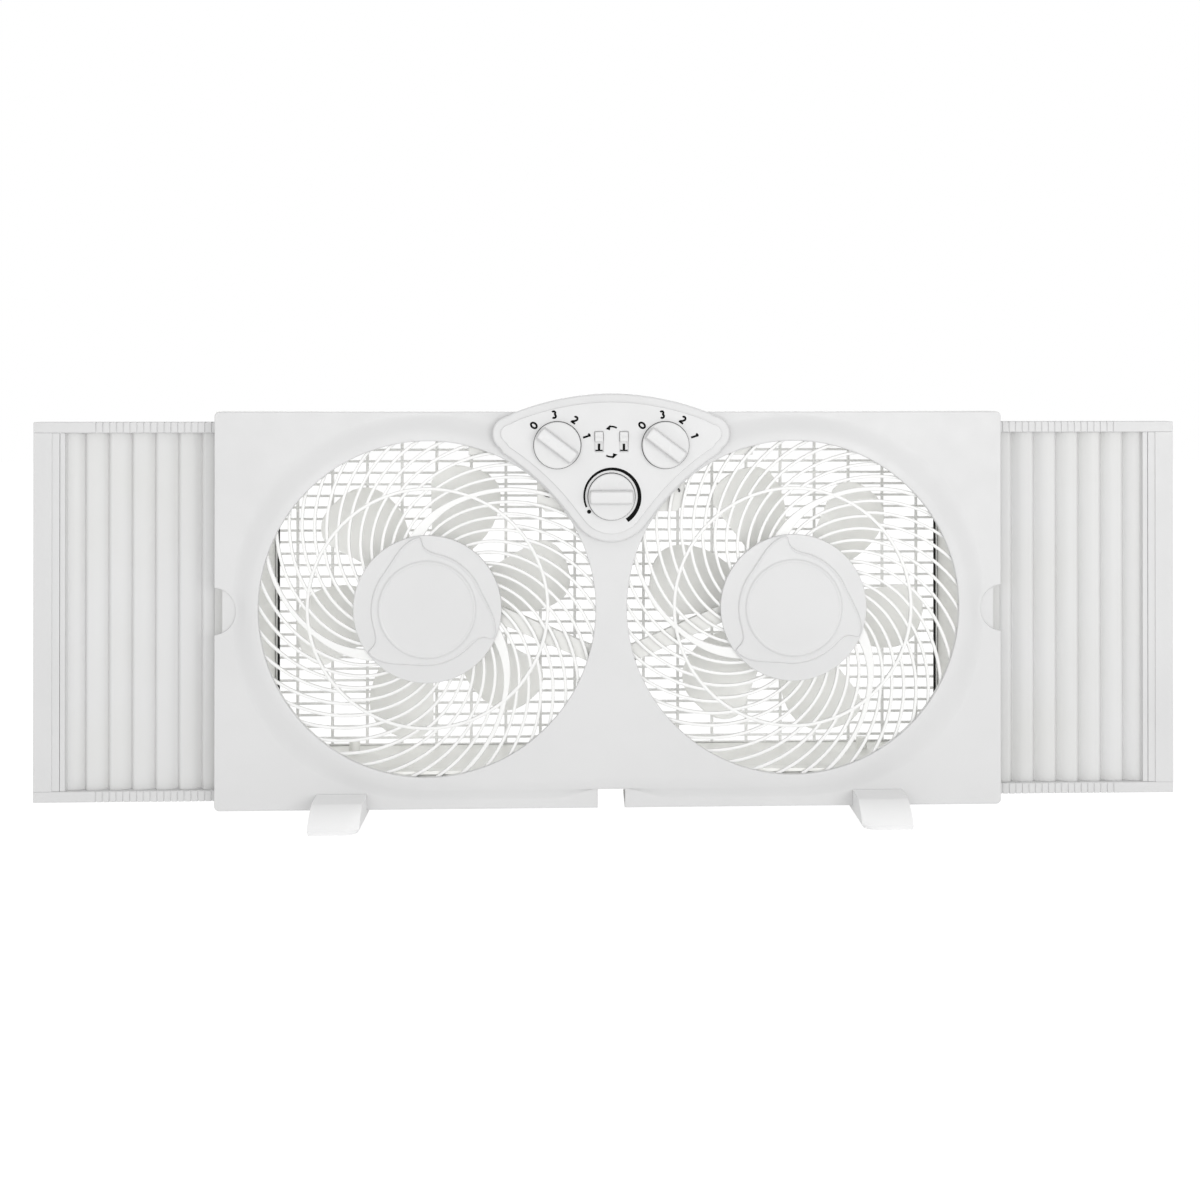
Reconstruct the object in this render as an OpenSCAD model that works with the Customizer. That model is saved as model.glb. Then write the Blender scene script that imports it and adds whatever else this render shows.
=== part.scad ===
// Twin window fan with two slide-out side panels.
// Millimetres. X across the window, Y from front to back, Z up; the feet stand on z = 0.

/* [Overall] */
// Width across both side panels, fully drawn out
overall_w = 940; // [920:5:960]
// Depth across the feet
overall_d = 160; // [150:2:180]
// Height of the front plate's lower edge above the table
foot_lift = 8; // [7:0.5:12]

/* [Front plate] */
// Width of the front plate
plate_w = 638; // [630:1:644]
// Height of the front plate
plate_h = 321; // [318:1:326]
// Thickness of the front plate
plate_t = 3; // [2.5:0.1:3.5]
// How far the raised panel round the fans stands out of the plate
platform_t = 4; // [3:0.5:5]
// Width of the raised rim round each fan opening
rim_w = 9.7; // [9:0.5:13]
// Radius of the finger notch in each side edge
notch_r = 19; // [17:0.5:21]
// How far the feet reach in front of the plate
toe_reach = 45; // [42:1:50]

/* [Fans] */
// Distance between the two fan axes
fan_pitch = 296; // [294:1:300]
// Height of the fan axes above the plate's lower edge
fan_rise = 162; // [160:1:164]
// Diameter of each fan opening
opening_d = 270.6; // [268:0.2:271]
// Diameter of each impeller
rotor_d = 232; // [220:1:234]
// Blades on each impeller
blade_count = 6; // [5:1:7]
// Thickness of a blade
blade_t = 2.2; // [1.8:0.1:2.6]
// Diameter of an impeller's hub
hub_d = 64; // [60:1:70]
// Diameter of the cap over each motor
cap_d = 119; // [114:1:120]

/* [Grilles] */
// Ribs between the cap and the support ring, a multiple of three
inner_ribs = 36; // [30:3:42]
// Ribs between the support ring and the rim, a multiple of three
outer_ribs = 42; // [36:3:48]
// Width of a thin rib
rib_w = 2; // [1.6:0.1:2.4]
// Width of each of the three arms where it crosses the support ring
arm_w = 3.8; // [3:0.1:4.6]
// Radius of the support ring
ring_r = 96.7; // [90:0.5:100]
// Thickness of the front grilles
grille_t = 4; // [3.5:0.1:4.5]
// Spacing of the rear grille's upright bars
bar_pitch_x = 30; // [28:1:34]
// Spacing of the rear grille's level bars
bar_pitch_z = 10; // [9:0.5:12]
// Width of a level bar
bar_w = 1.9; // [1.6:0.1:2.2]
// Width of an upright bar
post_w = 2.5; // [2:0.1:3]

/* [Fan chamber] */
// Inside width of the fan chamber
chamber_w = 566; // [564:1:568]
// Distance from the plate's upper edge down to the chamber's ceiling
ceiling_drop = 20.5; // [20.2:0.1:21]
// Height of the chamber's floor above the plate's lower edge
chamber_rise = 30; // [29.8:0.1:30.2]
// Depth of the housing behind the plate
chamber_d = 94; // [92:1:100]
// Thickness of the housing's walls
wall = 2.5; // [2:0.1:2.8]

/* [Side panels] */
// How far each side panel slides in
slide_travel = 150; // [140:1:150]
// Width of the bar at the outer end
end_bar_w = 15; // [13:1:15]
// Height of the upper and lower rails
rail_h = 8.8; // [8:0.1:9]
// Thickness of the side panels, front to back
panel_t = 19; // [16:1:19]
// Distance from the plate's back to the side panels' front
panel_setback = 18; // [17:1:20]
// Spacing of the grooves across the rails
groove_pitch = 5.5; // [5:0.5:7]
// Grooves on each rail
groove_count = 18; // [12:1:20]
// Pleats in each folding sheet
pleat_count = 8; // [7:1:9]
// Depth of the pleats, front to back
pleat_depth = 13; // [9:1:14]
// Thickness of the folding sheet
sheet_t = 1; // [0.8:0.1:1.2]

/* [Controls] */
// Distance between the two speed knobs
knob_pitch = 86.8; // [84:0.2:90]
// Height of the speed knobs above the fan axes
knob_rise = 132.3; // [130:0.1:133]
// Height of the thermostat knob above the fan axes
thermo_rise = 91; // [89:0.5:92]
// Diameter of the knobs
knob_d = 38.6; // [36:0.2:39]
// How far the knobs stand out of the control panel
knob_h = 14; // [12:0.5:18]
// Diameter of the switch stems
stem_d = 6; // [5:0.1:6.4]
// Distance between the two direction buttons
button_pitch = 20; // [19:0.5:21]
// Height of the direction slots' centre above the fan axes
button_rise = 135; // [134:0.5:136]
// Width of a direction button
button_w = 6.5; // [5.5:0.1:7]
// Travel of a direction button
button_travel = 8; // [6:0.5:8]
// How far the console stands out of the raised panel
console_t = 7; // [6:0.5:9]
// Thickness of the control panel on the console
panel_plate_t = 1.5; // [1.2:0.1:2]

/* [Motors] */
// Diameter of a motor's frame
motor_d = 68; // [62:1:72]
// Length of the laminated core
core_l = 16; // [14:1:18]
// Diameter of the motor shaft
shaft_d = 6; // [5:0.1:6.4]
// Running clearance in a bearing, on the radius
bearing_gap = 0.05; // [0.02:0.01:0.1]
// Air gap between rotor and core
air_gap = 0.4; // [0.3:0.05:0.6]

/* [Feet] */
// Distance from each side edge of the plate to the middle of the foot
foot_inset = 102; // [98:1:108]
// Width of a foot
foot_w = 40; // [36:1:44]
// Height of a foot's toe
toe_h = 21; // [20:1:26]

/* [Clearances] */
// Gap between parts that slide or sit loosely
gap = 0.3; // [0.2:0.05:0.4]
// Diameter of the housing and foot screws
screw_d = 3; // [2.5:0.1:3.5]
// Diameter of the inlet for the mains lead
inlet_d = 9; // [7:0.5:10]

/* [Hidden] */
$fn = 96;
small = 24;
eps = 0.01;

// heights
plate_z0 = foot_lift;
plate_z1 = plate_z0 + plate_h;
fan_z = plate_z0 + fan_rise;
floor_z = plate_z0 + chamber_rise;
ceiling_z = plate_z1 - ceiling_drop;
// depths
face_y = -overall_d / 2 + toe_reach;
back_y = face_y + plate_t;
front_y = face_y - platform_t;
rear_y = back_y + chamber_d;
console_y = front_y - console_t;
console_back_y = face_y - 1.3;
panel_y = console_y - panel_plate_t;
// half widths
half_plate = plate_w / 2;
half_chamber = chamber_w / 2;
fan_x = fan_pitch / 2;
foot_x = half_plate - foot_inset;
opening_r = opening_d / 2;
platform_r = opening_r + rim_w;
grille_r = opening_r + 6.7;
rotor_r = rotor_d / 2;

// ---------- helpers ----------
// extrudes an outline drawn in x and z from y0 back to y1
module slice(y0, y1) {
  translate([0, y1, 0]) rotate([90, 0, 0]) linear_extrude(height = y1 - y0) children();
}
// round bar or disc along y
module rod(x, z, r, y0, y1, n = $fn) {
  translate([x, y1, z]) rotate([90, 0, 0]) cylinder(r = r, h = y1 - y0, $fn = n);
}
module block(x0, x1, y0, y1, z0, z1) {
  translate([x0, y0, z0]) cube([x1 - x0, y1 - y0, z1 - z0]);
}
module round_rect(x0, x1, z0, z1, r) {
  translate([x0 + r, z0]) square([x1 - x0 - 2 * r, z1 - z0]);
  translate([x0, z0 + r]) square([x1 - x0, z1 - z0 - 2 * r]);
  for (x = [x0 + r, x1 - r], z = [z0 + r, z1 - r]) translate([x, z]) circle(r, $fn = 48);
}
module ring_2d(r1, r0) {
  difference() {
    circle(r1);
    circle(r0);
  }
}
module fan_discs(r) {
  for (s = [-1, 1]) translate([s * fan_x, fan_z]) circle(r);
}
// left is the piece as drawn here, right its mirror image
module side(s) {
  if (s < 0) children();
  else mirror([1, 0, 0]) children();
}
function polar(r, a) = [r * cos(a), r * sin(a)];
// centre of the circle through three points
function centre3(a, b, c) =
  let (d = 2 * (a[0] * (b[1] - c[1]) + b[0] * (c[1] - a[1]) + c[0] * (a[1] - b[1])))
  [((a * a) * (b[1] - c[1]) + (b * b) * (c[1] - a[1]) + (c * c) * (a[1] - b[1])) / d,
   ((a * a) * (c[0] - b[0]) + (b * b) * (a[0] - c[0]) + (c * c) * (b[0] - a[0])) / d];
function heading(v) = atan2(v[1], v[0]);
function turn(a, b) = (b - a + 540) % 360 - 180;
// n + 1 points on the arc from a through b to c
function arc3(a, b, c, n) =
  let (m = centre3(a, b, c), h = heading(a - m),
       sweep = turn(h, heading(b - m)) + turn(heading(b - m), heading(c - m)))
  [for (i = [0:n]) m + polar(norm(a - m), h + sweep * i / n)];
// moves a clockwise outline inwards by d
function inset(p, d) =
  let (n = len(p))
  [for (i = [0:n - 1])
    let (u = p[i] - p[(i + n - 1) % n], v = p[(i + 1) % n] - p[i],
         a = [u[1], -u[0]] / norm(u), b = [v[1], -v[0]] / norm(v), m = a + b)
    p[i] + d * 2 * m / (m * m)];

// ---------- front housing ----------
console_top = 173.8;
console_corner = [-79, 139];
console_low = 54;
function mirrored(p) = [for (i = [len(p) - 1:-1:0]) [-p[i][0], p[i][1]]];
// left half of the console, clockwise from the bottom to the top, about the fan axes' height
console_half = concat(
  arc3([0, console_low], [-15.7, 57.8], [-29, 70], 6),
  arc3([-31, 73.5], [-54, 100.6], [-86.5, 126.5], 6),
  arc3([-89.5, 129.5], console_corner + polar(16.5, 180), [-84, 155.5], 7),
  arc3([-78, 158.6], [-41, 169.5], [0, console_top], 6));
console_pts = concat(console_half, [for (p = mirrored(console_half)) if (p[0] > 0.01) p]);
function console_outline(d) = [for (p = inset(console_pts, d)) p + [0, fan_z]];

module console_2d(d = 0) {
  polygon(console_outline(d));
}
// the space between the two grilles and inside the console
module console_well_2d() {
  difference() {
    console_2d(wall);
    fan_discs(grille_r + 2);
    above_plate_2d(-wall);
  }
}
module above_plate_2d(d) {
  translate([-half_plate, plate_z1 + d]) square([plate_w, 60]);
}
module platform_2d() {
  fan_discs(platform_r);
  translate([-fan_x, fan_z - platform_r]) square([fan_pitch, 2 * platform_r - 21]);
}
lock_w = 22;
lock_h = 15;
skirt_inset = 8.5;
skirt_y = back_y + panel_setback - 2;
split_y = skirt_y - 4;
boss_r = 4.5;
track_y = back_y + panel_setback + panel_t + 2;
stem_hole_r = stem_d / 2 + 1.5;
knob_x = knob_pitch / 2;
knob_z = fan_z + knob_rise;
thermo_z = fan_z + thermo_rise;
button_x = button_pitch / 2;
button_z = fan_z + button_rise;
button_h = 8;
slot_h = button_h + button_travel + 2 * gap;
// corner screws stand in the chamber's corners, outside the air stream
screw_places = [for (s = [-1, 1], z = [floor_z + 5.5, ceiling_z - 5.5]) [s * (half_chamber - 5.5), z]];
low_screw_places = [for (s = [-1, 1]) [s * 90, plate_z0 + 15]];
all_screws = concat(screw_places, low_screw_places);
foot_screw_y = back_y + 7;
foot_boss_h = 14;

module finger_notch_2d() {
  for (s = [-1, 1]) translate([s * (half_plate + 2), (plate_z0 + plate_z1) / 2]) circle(notch_r);
}
module lock_notch_2d() {
  translate([-lock_w / 2, plate_z0 - eps]) square([lock_w, lock_h]);
}
module stem_holes_2d() {
  for (x = [-knob_x, knob_x]) translate([x, knob_z]) circle(stem_hole_r, $fn = 48);
  translate([0, thermo_z]) circle(stem_hole_r, $fn = 48);
  for (x = [-button_x, button_x])
    translate([x - button_w / 2 - gap, button_z - slot_h / 2]) square([button_w + 2 * gap, slot_h]);
}
// the boss that a screw bites into, and its pilot hole
module front_bosses(r, y0, y1) {
  for (p = all_screws) rod(p[0], p[1], r, y0, y1, small);
}
module foot_bosses(r, z0, h) {
  for (s = [-1, 1]) translate([s * foot_x, foot_screw_y, z0]) cylinder(r = r, h = h, $fn = small);
}
module front_plate() {
  difference() {
    union() {
      slice(face_y, back_y) round_rect(-half_plate, half_plate, plate_z0, plate_z1, 4);
      slice(front_y, back_y) platform_2d();
    }
    slice(front_y - 1, back_y + 1) fan_discs(opening_r);
    slice(back_y - grille_t, back_y + 1) fan_discs(grille_r + gap);
  }
}
module front_skirt() {
  for (z = [plate_z0, plate_z1 - wall])
    block(-half_plate + 4, half_plate - 4, back_y - 1, split_y, z, z + wall);
  for (s = [-1, 1])
    block(s * (half_plate - skirt_inset) - wall / 2, s * (half_plate - skirt_inset) + wall / 2,
          back_y - 1, skirt_y, plate_z0 + wall + gap, plate_z1 - wall - gap);
  // thicker behind the finger notches
  for (x = [-half_plate + skirt_inset, half_plate - skirt_inset - 5.5])
    block(x, x + 5.5, back_y - 1, skirt_y, (plate_z0 + plate_z1) / 2 - notch_r - 3, (plate_z0 + plate_z1) / 2 + notch_r + 3);
}
module console_shell() {
  slice(console_y, console_back_y) console_2d();
  slice(console_back_y - 1, face_y + 1) difference() {
    console_2d();
    fan_discs(grille_r + 2);
  }
  // closed back of the console where it rises above the plate
  slice(console_y, split_y - gap) intersection() {
    console_2d();
    above_plate_2d(-wall);
  }
}
module front_housing() {
  color("#ecedef") difference() {
    union() {
      front_plate();
      front_skirt();
      console_shell();
      front_bosses(boss_r, back_y - 1, track_y);
      foot_bosses(boss_r, plate_z0, foot_boss_h);
    }
    slice(front_y - 1, back_y) finger_notch_2d();
    slice(front_y - 1, split_y + 1) lock_notch_2d();
    slice(console_y + wall, front_y) console_2d(wall);
    slice(front_y - eps, back_y + 1) console_well_2d();
    slice(front_y - eps, split_y - gap - wall) intersection() {
      console_2d(wall);
      above_plate_2d(0);
    }
    slice(console_y - 1, front_y) stem_holes_2d();
    front_bosses(screw_d / 2, back_y + 4, track_y + 1);
    foot_bosses(screw_d / 2, plate_z0 - 1, foot_boss_h);
  }
}

// ---------- rear housing ----------
ext_y0 = back_y + panel_setback;
ext_y1 = ext_y0 + panel_t;
rail_z1 = plate_z1 - 8.7;
rail_z0 = plate_z0 + wall - 0.2 + gap;
half_tee = 115.8;
half_stem = 60.4;
half_neck = 22;
tee_z = fan_z + 123.4;
tee_shoulder_z = fan_z + 77.4;
tee_stem_z = fan_z + 65;
tee_top_z = plate_z1 - wall - gap;
clear_r = rotor_r + 6;
column_r = 6;
screw_seat_y = track_y + 4;
inlet_x = 100;
inlet_z = tee_z + 13.6;

// outline of the control box, hollowed beside the impellers, moved in by d
module tee_2d(d = 0, scoop = clear_r) {
  difference() {
    union() {
      translate([-half_tee + d, tee_z + d]) square([2 * (half_tee - d), tee_top_z - tee_z - 2 * d]);
      translate([-half_stem + d, tee_shoulder_z + d]) square([2 * (half_stem - d), tee_z - tee_shoulder_z + 1]);
      translate([-half_neck + d, tee_stem_z + d]) square([2 * (half_neck - d), tee_shoulder_z - tee_stem_z + 1]);
    }
    fan_discs(scoop + d);
  }
}
module rear_housing() {
  color("#ecedef") difference() {
    union() {
      // chamber walls, open at the front and the back
      difference() {
        block(-half_chamber - wall, half_chamber + wall, back_y, rear_y, floor_z - wall, ceiling_z + wall);
        block(-half_chamber, half_chamber, back_y - 1, rear_y + 1, floor_z, ceiling_z);
      }
      // wall behind the side panels
      difference() {
        block(-half_plate + 3, half_plate - 3, track_y, track_y + wall, plate_z0, plate_z1);
        block(-half_chamber, half_chamber, track_y - 1, track_y + wall + 1, floor_z, ceiling_z);
      }
      // upper and lower tracks with the ribs that guide the rails
      for (z = [plate_z0, plate_z1 - wall])
        block(-half_plate + 4, half_plate - 4, split_y, track_y + 1, z, z + (z > fan_z ? wall : wall - 0.2));
      for (s = [-1, 1], u = [0, 1]) {
        x = s * (half_chamber + half_tee) / 2;
        block(x - 78, x + 78, ext_y0 + 8, track_y + 1,
              u ? rail_z1 + gap : rail_z0 + rail_h + gap, u ? plate_z1 - wall / 2 : floor_z - wall / 2);
      }
      for (p = screw_places) rod(p[0], p[1], column_r, track_y, rear_y - 3.5, small);
      for (p = low_screw_places) rod(p[0], p[1], column_r, track_y, track_y + 12, small);
      // bosses for the rear foot screws
      for (s = [-1, 1]) translate([s * foot_x, rear_foot_y, floor_z - wall])
        cylinder(r = boss_r, h = 12, $fn = small);
    }
    // opening for the control box
    slice(back_y - 1, rear_y + 1) difference() {
      tee_2d(-gap);
      translate([-half_stem - 1, 0]) square([2 * half_stem + 2, ceiling_z - 4]);
    }
    for (p = all_screws) {
      rod(p[0], p[1], screw_d / 2 + 0.2, track_y - 1, rear_y, small);
      rod(p[0], p[1], screw_d + 0.8, screw_seat_y, rear_y, small);
    }
    for (s = [-1, 1]) translate([s * foot_x, rear_foot_y, floor_z - wall - 1])
      cylinder(r = screw_d / 2, h = 11, $fn = small);
    slice(split_y - 1, track_y + wall + 1) lock_notch_2d();
  }
}
rear_foot_y = rear_y - 27;
grid_y = rear_y - 3;
posts = floor((half_chamber - 6) / bar_pitch_x);
levels = floor((ceiling_z - floor_z - 6) / bar_pitch_z);
level_z0 = fan_z + 114.5 - bar_pitch_z * floor((fan_z + 114.5 - floor_z - 3) / bar_pitch_z);
module rear_grille() {
  color("#c9cbcb") difference() {
    union() {
      difference() {
        block(-half_chamber + gap, half_chamber - gap, grid_y, rear_y, floor_z + gap, ceiling_z - gap);
        block(-half_chamber + 3, half_chamber - 3, grid_y - 1, rear_y + 1, floor_z + 3, ceiling_z - 3);
      }
      slice(grid_y, rear_y) tee_2d(0, 0);
      for (i = [-posts:posts])
        block(i * bar_pitch_x - post_w / 2, i * bar_pitch_x + post_w / 2, grid_y, rear_y, floor_z + 1, ceiling_z - 1);
      for (i = [0:levels - 1]) let (z = level_z0 + i * bar_pitch_z) if (z < ceiling_z - 3)
        block(-half_chamber + 1, half_chamber - 1, grid_y, rear_y, z - bar_w / 2, z + bar_w / 2);
    }
    for (p = screw_places) rod(p[0], p[1], column_r - 1.2, grid_y - 1, rear_y + 1, small);
    rod(inlet_x, inlet_z, inlet_d / 2 + 2, grid_y - 1, rear_y + 1, small);
  }
}
module control_box() {
  box_y1 = grid_y - gap;
  color("#e4e5e6") difference() {
    slice(back_y + gap, box_y1) tee_2d(gap);
    slice(back_y + gap + wall, box_y1 - wall) tee_2d(wall + gap);
    // mouth behind the console for the switches
    slice(back_y - 1, back_y + wall + 1) intersection() {
      tee_2d(wall + gap);
      console_2d(wall + 1);
    }
    rod(inlet_x, inlet_z, inlet_d / 2 + 2, box_y1 - wall - 1, box_y1 + 1, small);
    // way in for the motor leads
    slice(back_y - 1, back_y + 12) translate([-9, tee_stem_z - 1]) square([18, wall + 3]);
  }
}
module inlet_bush() {
  color("#dcdddd") difference() {
    union() {
      rod(inlet_x, inlet_z, inlet_d / 2 + 2 - 0.1, grid_y - wall - 2, rear_y + 0.1, 48);
      rod(inlet_x, inlet_z, inlet_d / 2 + 3.5, rear_y, rear_y + 2, 48);
    }
    rod(inlet_x, inlet_z, inlet_d / 2, grid_y - wall - 3, rear_y + 3, 48);
  }
}

// ---------- front grilles ----------
// curved rib of a given width; p is its path as three points
module rib(p, w, t) {
  m = centre3(p[0], p[1], p[2]);
  h = heading(p[0] - m);
  sweep = turn(h, heading(p[1] - m)) + turn(heading(p[1] - m), heading(p[2] - m));
  translate(m) rotate(min(h, h + sweep)) rotate_extrude(angle = abs(sweep), $fn = $fn)
    translate([norm(p[0] - m) - w / 2, 0]) square([w, t]);
}
cap_r = cap_d / 2;
plate_r = cap_r - 7;
arm_angle = 98.4;
inner_twist = 0.78;
outer_twist = 0.703;
// point on the ribs' spiral that passes the support ring at angle a
function on_rib(r, a) =
  polar(r, r < ring_r ? a + inner_twist * (ring_r - r) : a - outer_twist * (r - ring_r));
function rib_path(r0, r1, a) = [on_rib(r0, a), on_rib((r0 + r1) / 2, a), on_rib(r1, a)];
// angle of the first arm where it crosses the support ring
arm_a0 = arm_angle - inner_twist * (ring_r - cap_r);
module grille_ribs() {
  for (i = [0:inner_ribs - 1]) if (i % (inner_ribs / 3) > 0)
    rib(rib_path(plate_r - 1, ring_r, arm_a0 + i * 360 / inner_ribs), rib_w, grille_t - 1);
  for (i = [0:outer_ribs - 1]) if (i % (outer_ribs / 3) > 0)
    rib(rib_path(ring_r, opening_r - 1, arm_a0 + i * 360 / outer_ribs), rib_w, grille_t - 1);
}
// an arm narrows from the cap out to the support ring and the rim
arm_rs = [for (i = [0:14]) plate_r - 7 + (opening_r - plate_r + 5.5) * i / 14];
function arm_half(r) = arm_w / 2 * (r < ring_r ? 1 + 1.1 * (ring_r - r) / (ring_r - plate_r) : 1 - 0.25 * (r - ring_r) / (opening_r - ring_r));
function arm_side(s) = [for (r = arm_rs)
  let (a = on_rib(r - 0.5, arm_a0), b = on_rib(r + 0.5, arm_a0), u = (b - a) / norm(b - a))
  on_rib(r, arm_a0) + s * arm_half(r) * [-u[1], u[0]]];
module grille_arm() {
  linear_extrude(height = grille_t - 0.6) polygon(concat(arm_side(1), [for (i = [14:-1:0]) arm_side(-1)[i]]));
}
motor_screw_r = 26;
module front_grille(x) {
  color("#f0f1f1") translate([x, back_y, fan_z]) rotate([90, 0, 0]) {
    difference() {
      union() {
        linear_extrude(height = grille_t) ring_2d(grille_r, opening_r - 3);
        linear_extrude(height = grille_t) ring_2d(ring_r + 1.2, ring_r - 1.2);
        linear_extrude(height = grille_t) circle(plate_r);
        translate([0, 0, 0.5]) grille_ribs();
        for (a = [0, 120, 240]) rotate(a) translate([0, 0, 0.3]) grille_arm();
      }
      translate([0, 0, -1]) cylinder(r = 10, h = grille_t + 2);
      for (a = [0:90:270]) rotate(a + 45) translate([motor_screw_r, 0, -1])
        cylinder(r = screw_d / 2 + 0.2, h = grille_t + 2, $fn = small);
    }
  }
}
// one third of the cap's raised swirl, clockwise from the arm at angle a
function swirl_pts(a) = concat(
  [polar(cap_r - 0.6, a + 1), polar(cap_r - 1.5, a - 3.5), polar(cap_r - 7.6, a - 4), polar(cap_r - 12, a - 8.5)],
  arc3(polar(cap_r - 14, a - 18), polar(cap_r - 14.4, a - 48), polar(cap_r - 14, a - 79), 8),
  [polar(cap_r - 11.5, a - 92), polar(cap_r - 5.6, a - 106)]);
module hub_cap(x) {
  color("#eeeff0") translate([x, back_y - grille_t, fan_z]) rotate([90, 0, 0]) difference() {
    union() {
      cylinder(r = cap_r, h = 3.6);
      translate([0, 0, 2]) linear_extrude(height = 3.2)
        polygon([for (k = [0:2]) each swirl_pts(arm_angle - 120 * k)]);
      translate([0, 0, 2]) cylinder(r = 38, h = 4.4);
    }
    // hollow back with a ring that centres it on the motor
    translate([0, 0, -1]) linear_extrude(height = 3.4) {
      ring_2d(cap_r - wall, 20);
      circle(18);
    }
  }
}

// ---------- motors and impellers, drawn about the fan axis ----------
shaft_r = shaft_d / 2;
motor_r = motor_d / 2;
seat = 0.02;
bush_r = shaft_r + 3;
cup_wall = 3;
core_r = motor_r - cup_wall - seat;
rotor_core_r = motor_r * 0.44;
motor_back_y = back_y + core_l + 13;
core_y0 = back_y + 6;
core_y1 = core_y0 + core_l;
motor_split_y = (core_y0 + core_y1) / 2;
slot_r = 2.5;
slot_ring_r = (rotor_core_r + core_r) / 2;
hub_y0 = motor_back_y + 5.5;
hub_y1 = hub_y0 + 16;
blade_y = hub_y0 + 7;
front_bush_y0 = back_y - 3.2;
front_bush_y1 = back_y + 2.5;
rear_bush_y0 = motor_back_y - 2.5;
rear_bush_y1 = motor_back_y + 4;

module front_bracket(x) {
  color("#b9bcbf") difference() {
    union() {
      rod(x, fan_z, motor_r, back_y, motor_split_y);
      rod(x, fan_z, bush_r + 2.5, back_y - 3.5, back_y + 1, 48);
    }
    rod(x, fan_z, core_r + seat, back_y + cup_wall, motor_split_y + 1);
    rod(x, fan_z, bush_r + seat, back_y - 4, back_y + cup_wall + 1, 48);
    for (a = [0:90:270]) motor_screw_hole(x, a + 45);
  }
}
module motor_screw_hole(x, a) {
  rod(x + motor_screw_r * cos(a), fan_z + motor_screw_r * sin(a), screw_d / 2, back_y - 1, back_y + cup_wall + 1, small);
}
module rear_bracket(x) {
  color("#b9bcbf") difference() {
    union() {
      rod(x, fan_z, motor_r, motor_split_y, motor_back_y);
      rod(x, fan_z, bush_r + 2.5, motor_back_y - 1, rear_bush_y1 + 0.3, 48);
    }
    rod(x, fan_z, core_r + seat, motor_split_y - 1, motor_back_y - cup_wall);
    rod(x, fan_z, bush_r + seat, motor_back_y - cup_wall - 1, rear_bush_y1 + 1, 48);
    for (a = [0:45:315])
      rod(x + slot_ring_r * cos(a), fan_z + slot_ring_r * sin(a), 3.5, motor_back_y - cup_wall - 1, motor_back_y + 1, small);
  }
}
module motor_core(x) {
  color("#8e9093") difference() {
    rod(x, fan_z, core_r, core_y0, core_y1);
    rod(x, fan_z, rotor_core_r + air_gap, core_y0 - 1, core_y1 + 1);
    winding_slots(x, slot_r, core_y0 - 1, core_y1 + 1);
  }
}
module winding_slots(x, r, y0, y1) {
  for (a = [0:45:315]) rod(x + slot_ring_r * cos(a), fan_z + slot_ring_r * sin(a), r, y0, y1, small);
}
module motor_winding(x) {
  color("#b8703a") union() {
    for (y = [core_y0 - 2.6, core_y1 + 0.2]) difference() {
      rod(x, fan_z, slot_ring_r + 4.5, y, y + 2.4);
      rod(x, fan_z, slot_ring_r - 4.5, y - 1, y + 4);
    }
    winding_slots(x, slot_r - 0.2, core_y0 - 0.5, core_y1 + 0.5);
  }
}
module bearings(x) {
  color("#b08d4f") for (p = [[front_bush_y0, front_bush_y1], [rear_bush_y0, rear_bush_y1]])
    difference() {
      rod(x, fan_z, bush_r, p[0], p[1], 48);
      rod(x, fan_z, shaft_r + bearing_gap, p[0] - 1, p[1] + 1, 48);
    }
}
module motor_shaft(x) {
  color("#c6c9cc") rod(x, fan_z, shaft_r, back_y - 4.5, hub_y1 + 5, 48);
}
module rotor_core(x) {
  color("#9a9c9e") difference() {
    union() {
      rod(x, fan_z, rotor_core_r, core_y0, core_y1);
      rod(x, fan_z, rotor_core_r - 3, core_y0 - 1.5, core_y1 + 1.5);
    }
    rod(x, fan_z, shaft_r + seat, core_y0 - 3, core_y1 + 3, 48);
  }
}
blade_root_r = hub_d / 2 - 1.5;
blade_lead = 18;
blade_pitch = 24;
blade_curve = 130;
// outline of a blade seen along the shaft: straight leading edge, rounded body behind it
function blade_pt(f, a) = polar(rotor_r * f, blade_lead - a);
blade_pts = concat(
  [polar(blade_root_r, blade_lead), blade_pt(0.86, 0)],
  arc3(blade_pt(0.9, 1), blade_pt(0.965, 6), blade_pt(1, 13), 4),
  arc3(blade_pt(0.998, 18), blade_pt(0.962, 29), blade_pt(0.86, 34.5), 4),
  arc3(blade_pt(0.73, 38.3), blade_pt(0.6, 39.5), blade_pt(0.48, 36.5), 3),
  [polar(blade_root_r, blade_lead - 31)]);
module blade() {
  intersection() {
    translate([0, 0, -40]) linear_extrude(height = 80) polygon(blade_pts);
    rotate([blade_pitch, 0, 0]) translate([blade_root_r - 10, 0, -blade_curve]) rotate([0, 90, 0])
      linear_extrude(height = rotor_r) ring_2d(blade_curve, blade_curve - blade_t);
    translate([0, -rotor_r, -40]) cube([rotor_r, 2 * rotor_r, 80]);
  }
}
module impeller(x, turned) {
  color("#dfe0dd") union() {
    translate([x, blade_y, fan_z]) rotate([90, 0, 0])
      for (i = [0:blade_count - 1]) rotate(turned + i * 360 / blade_count) blade();
    difference() {
      rod(x, fan_z, hub_d / 2, hub_y0 - 4, hub_y1);
      difference() {
        rod(x, fan_z, hub_d / 2 - wall, hub_y0 - 5, hub_y1 - wall);
        rod(x, fan_z, shaft_r + 4, hub_y0, hub_y1, 48);
      }
      rod(x, fan_z, shaft_r + seat, hub_y0 - 1, hub_y1 + 1, 48);
    }
  }
}
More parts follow.
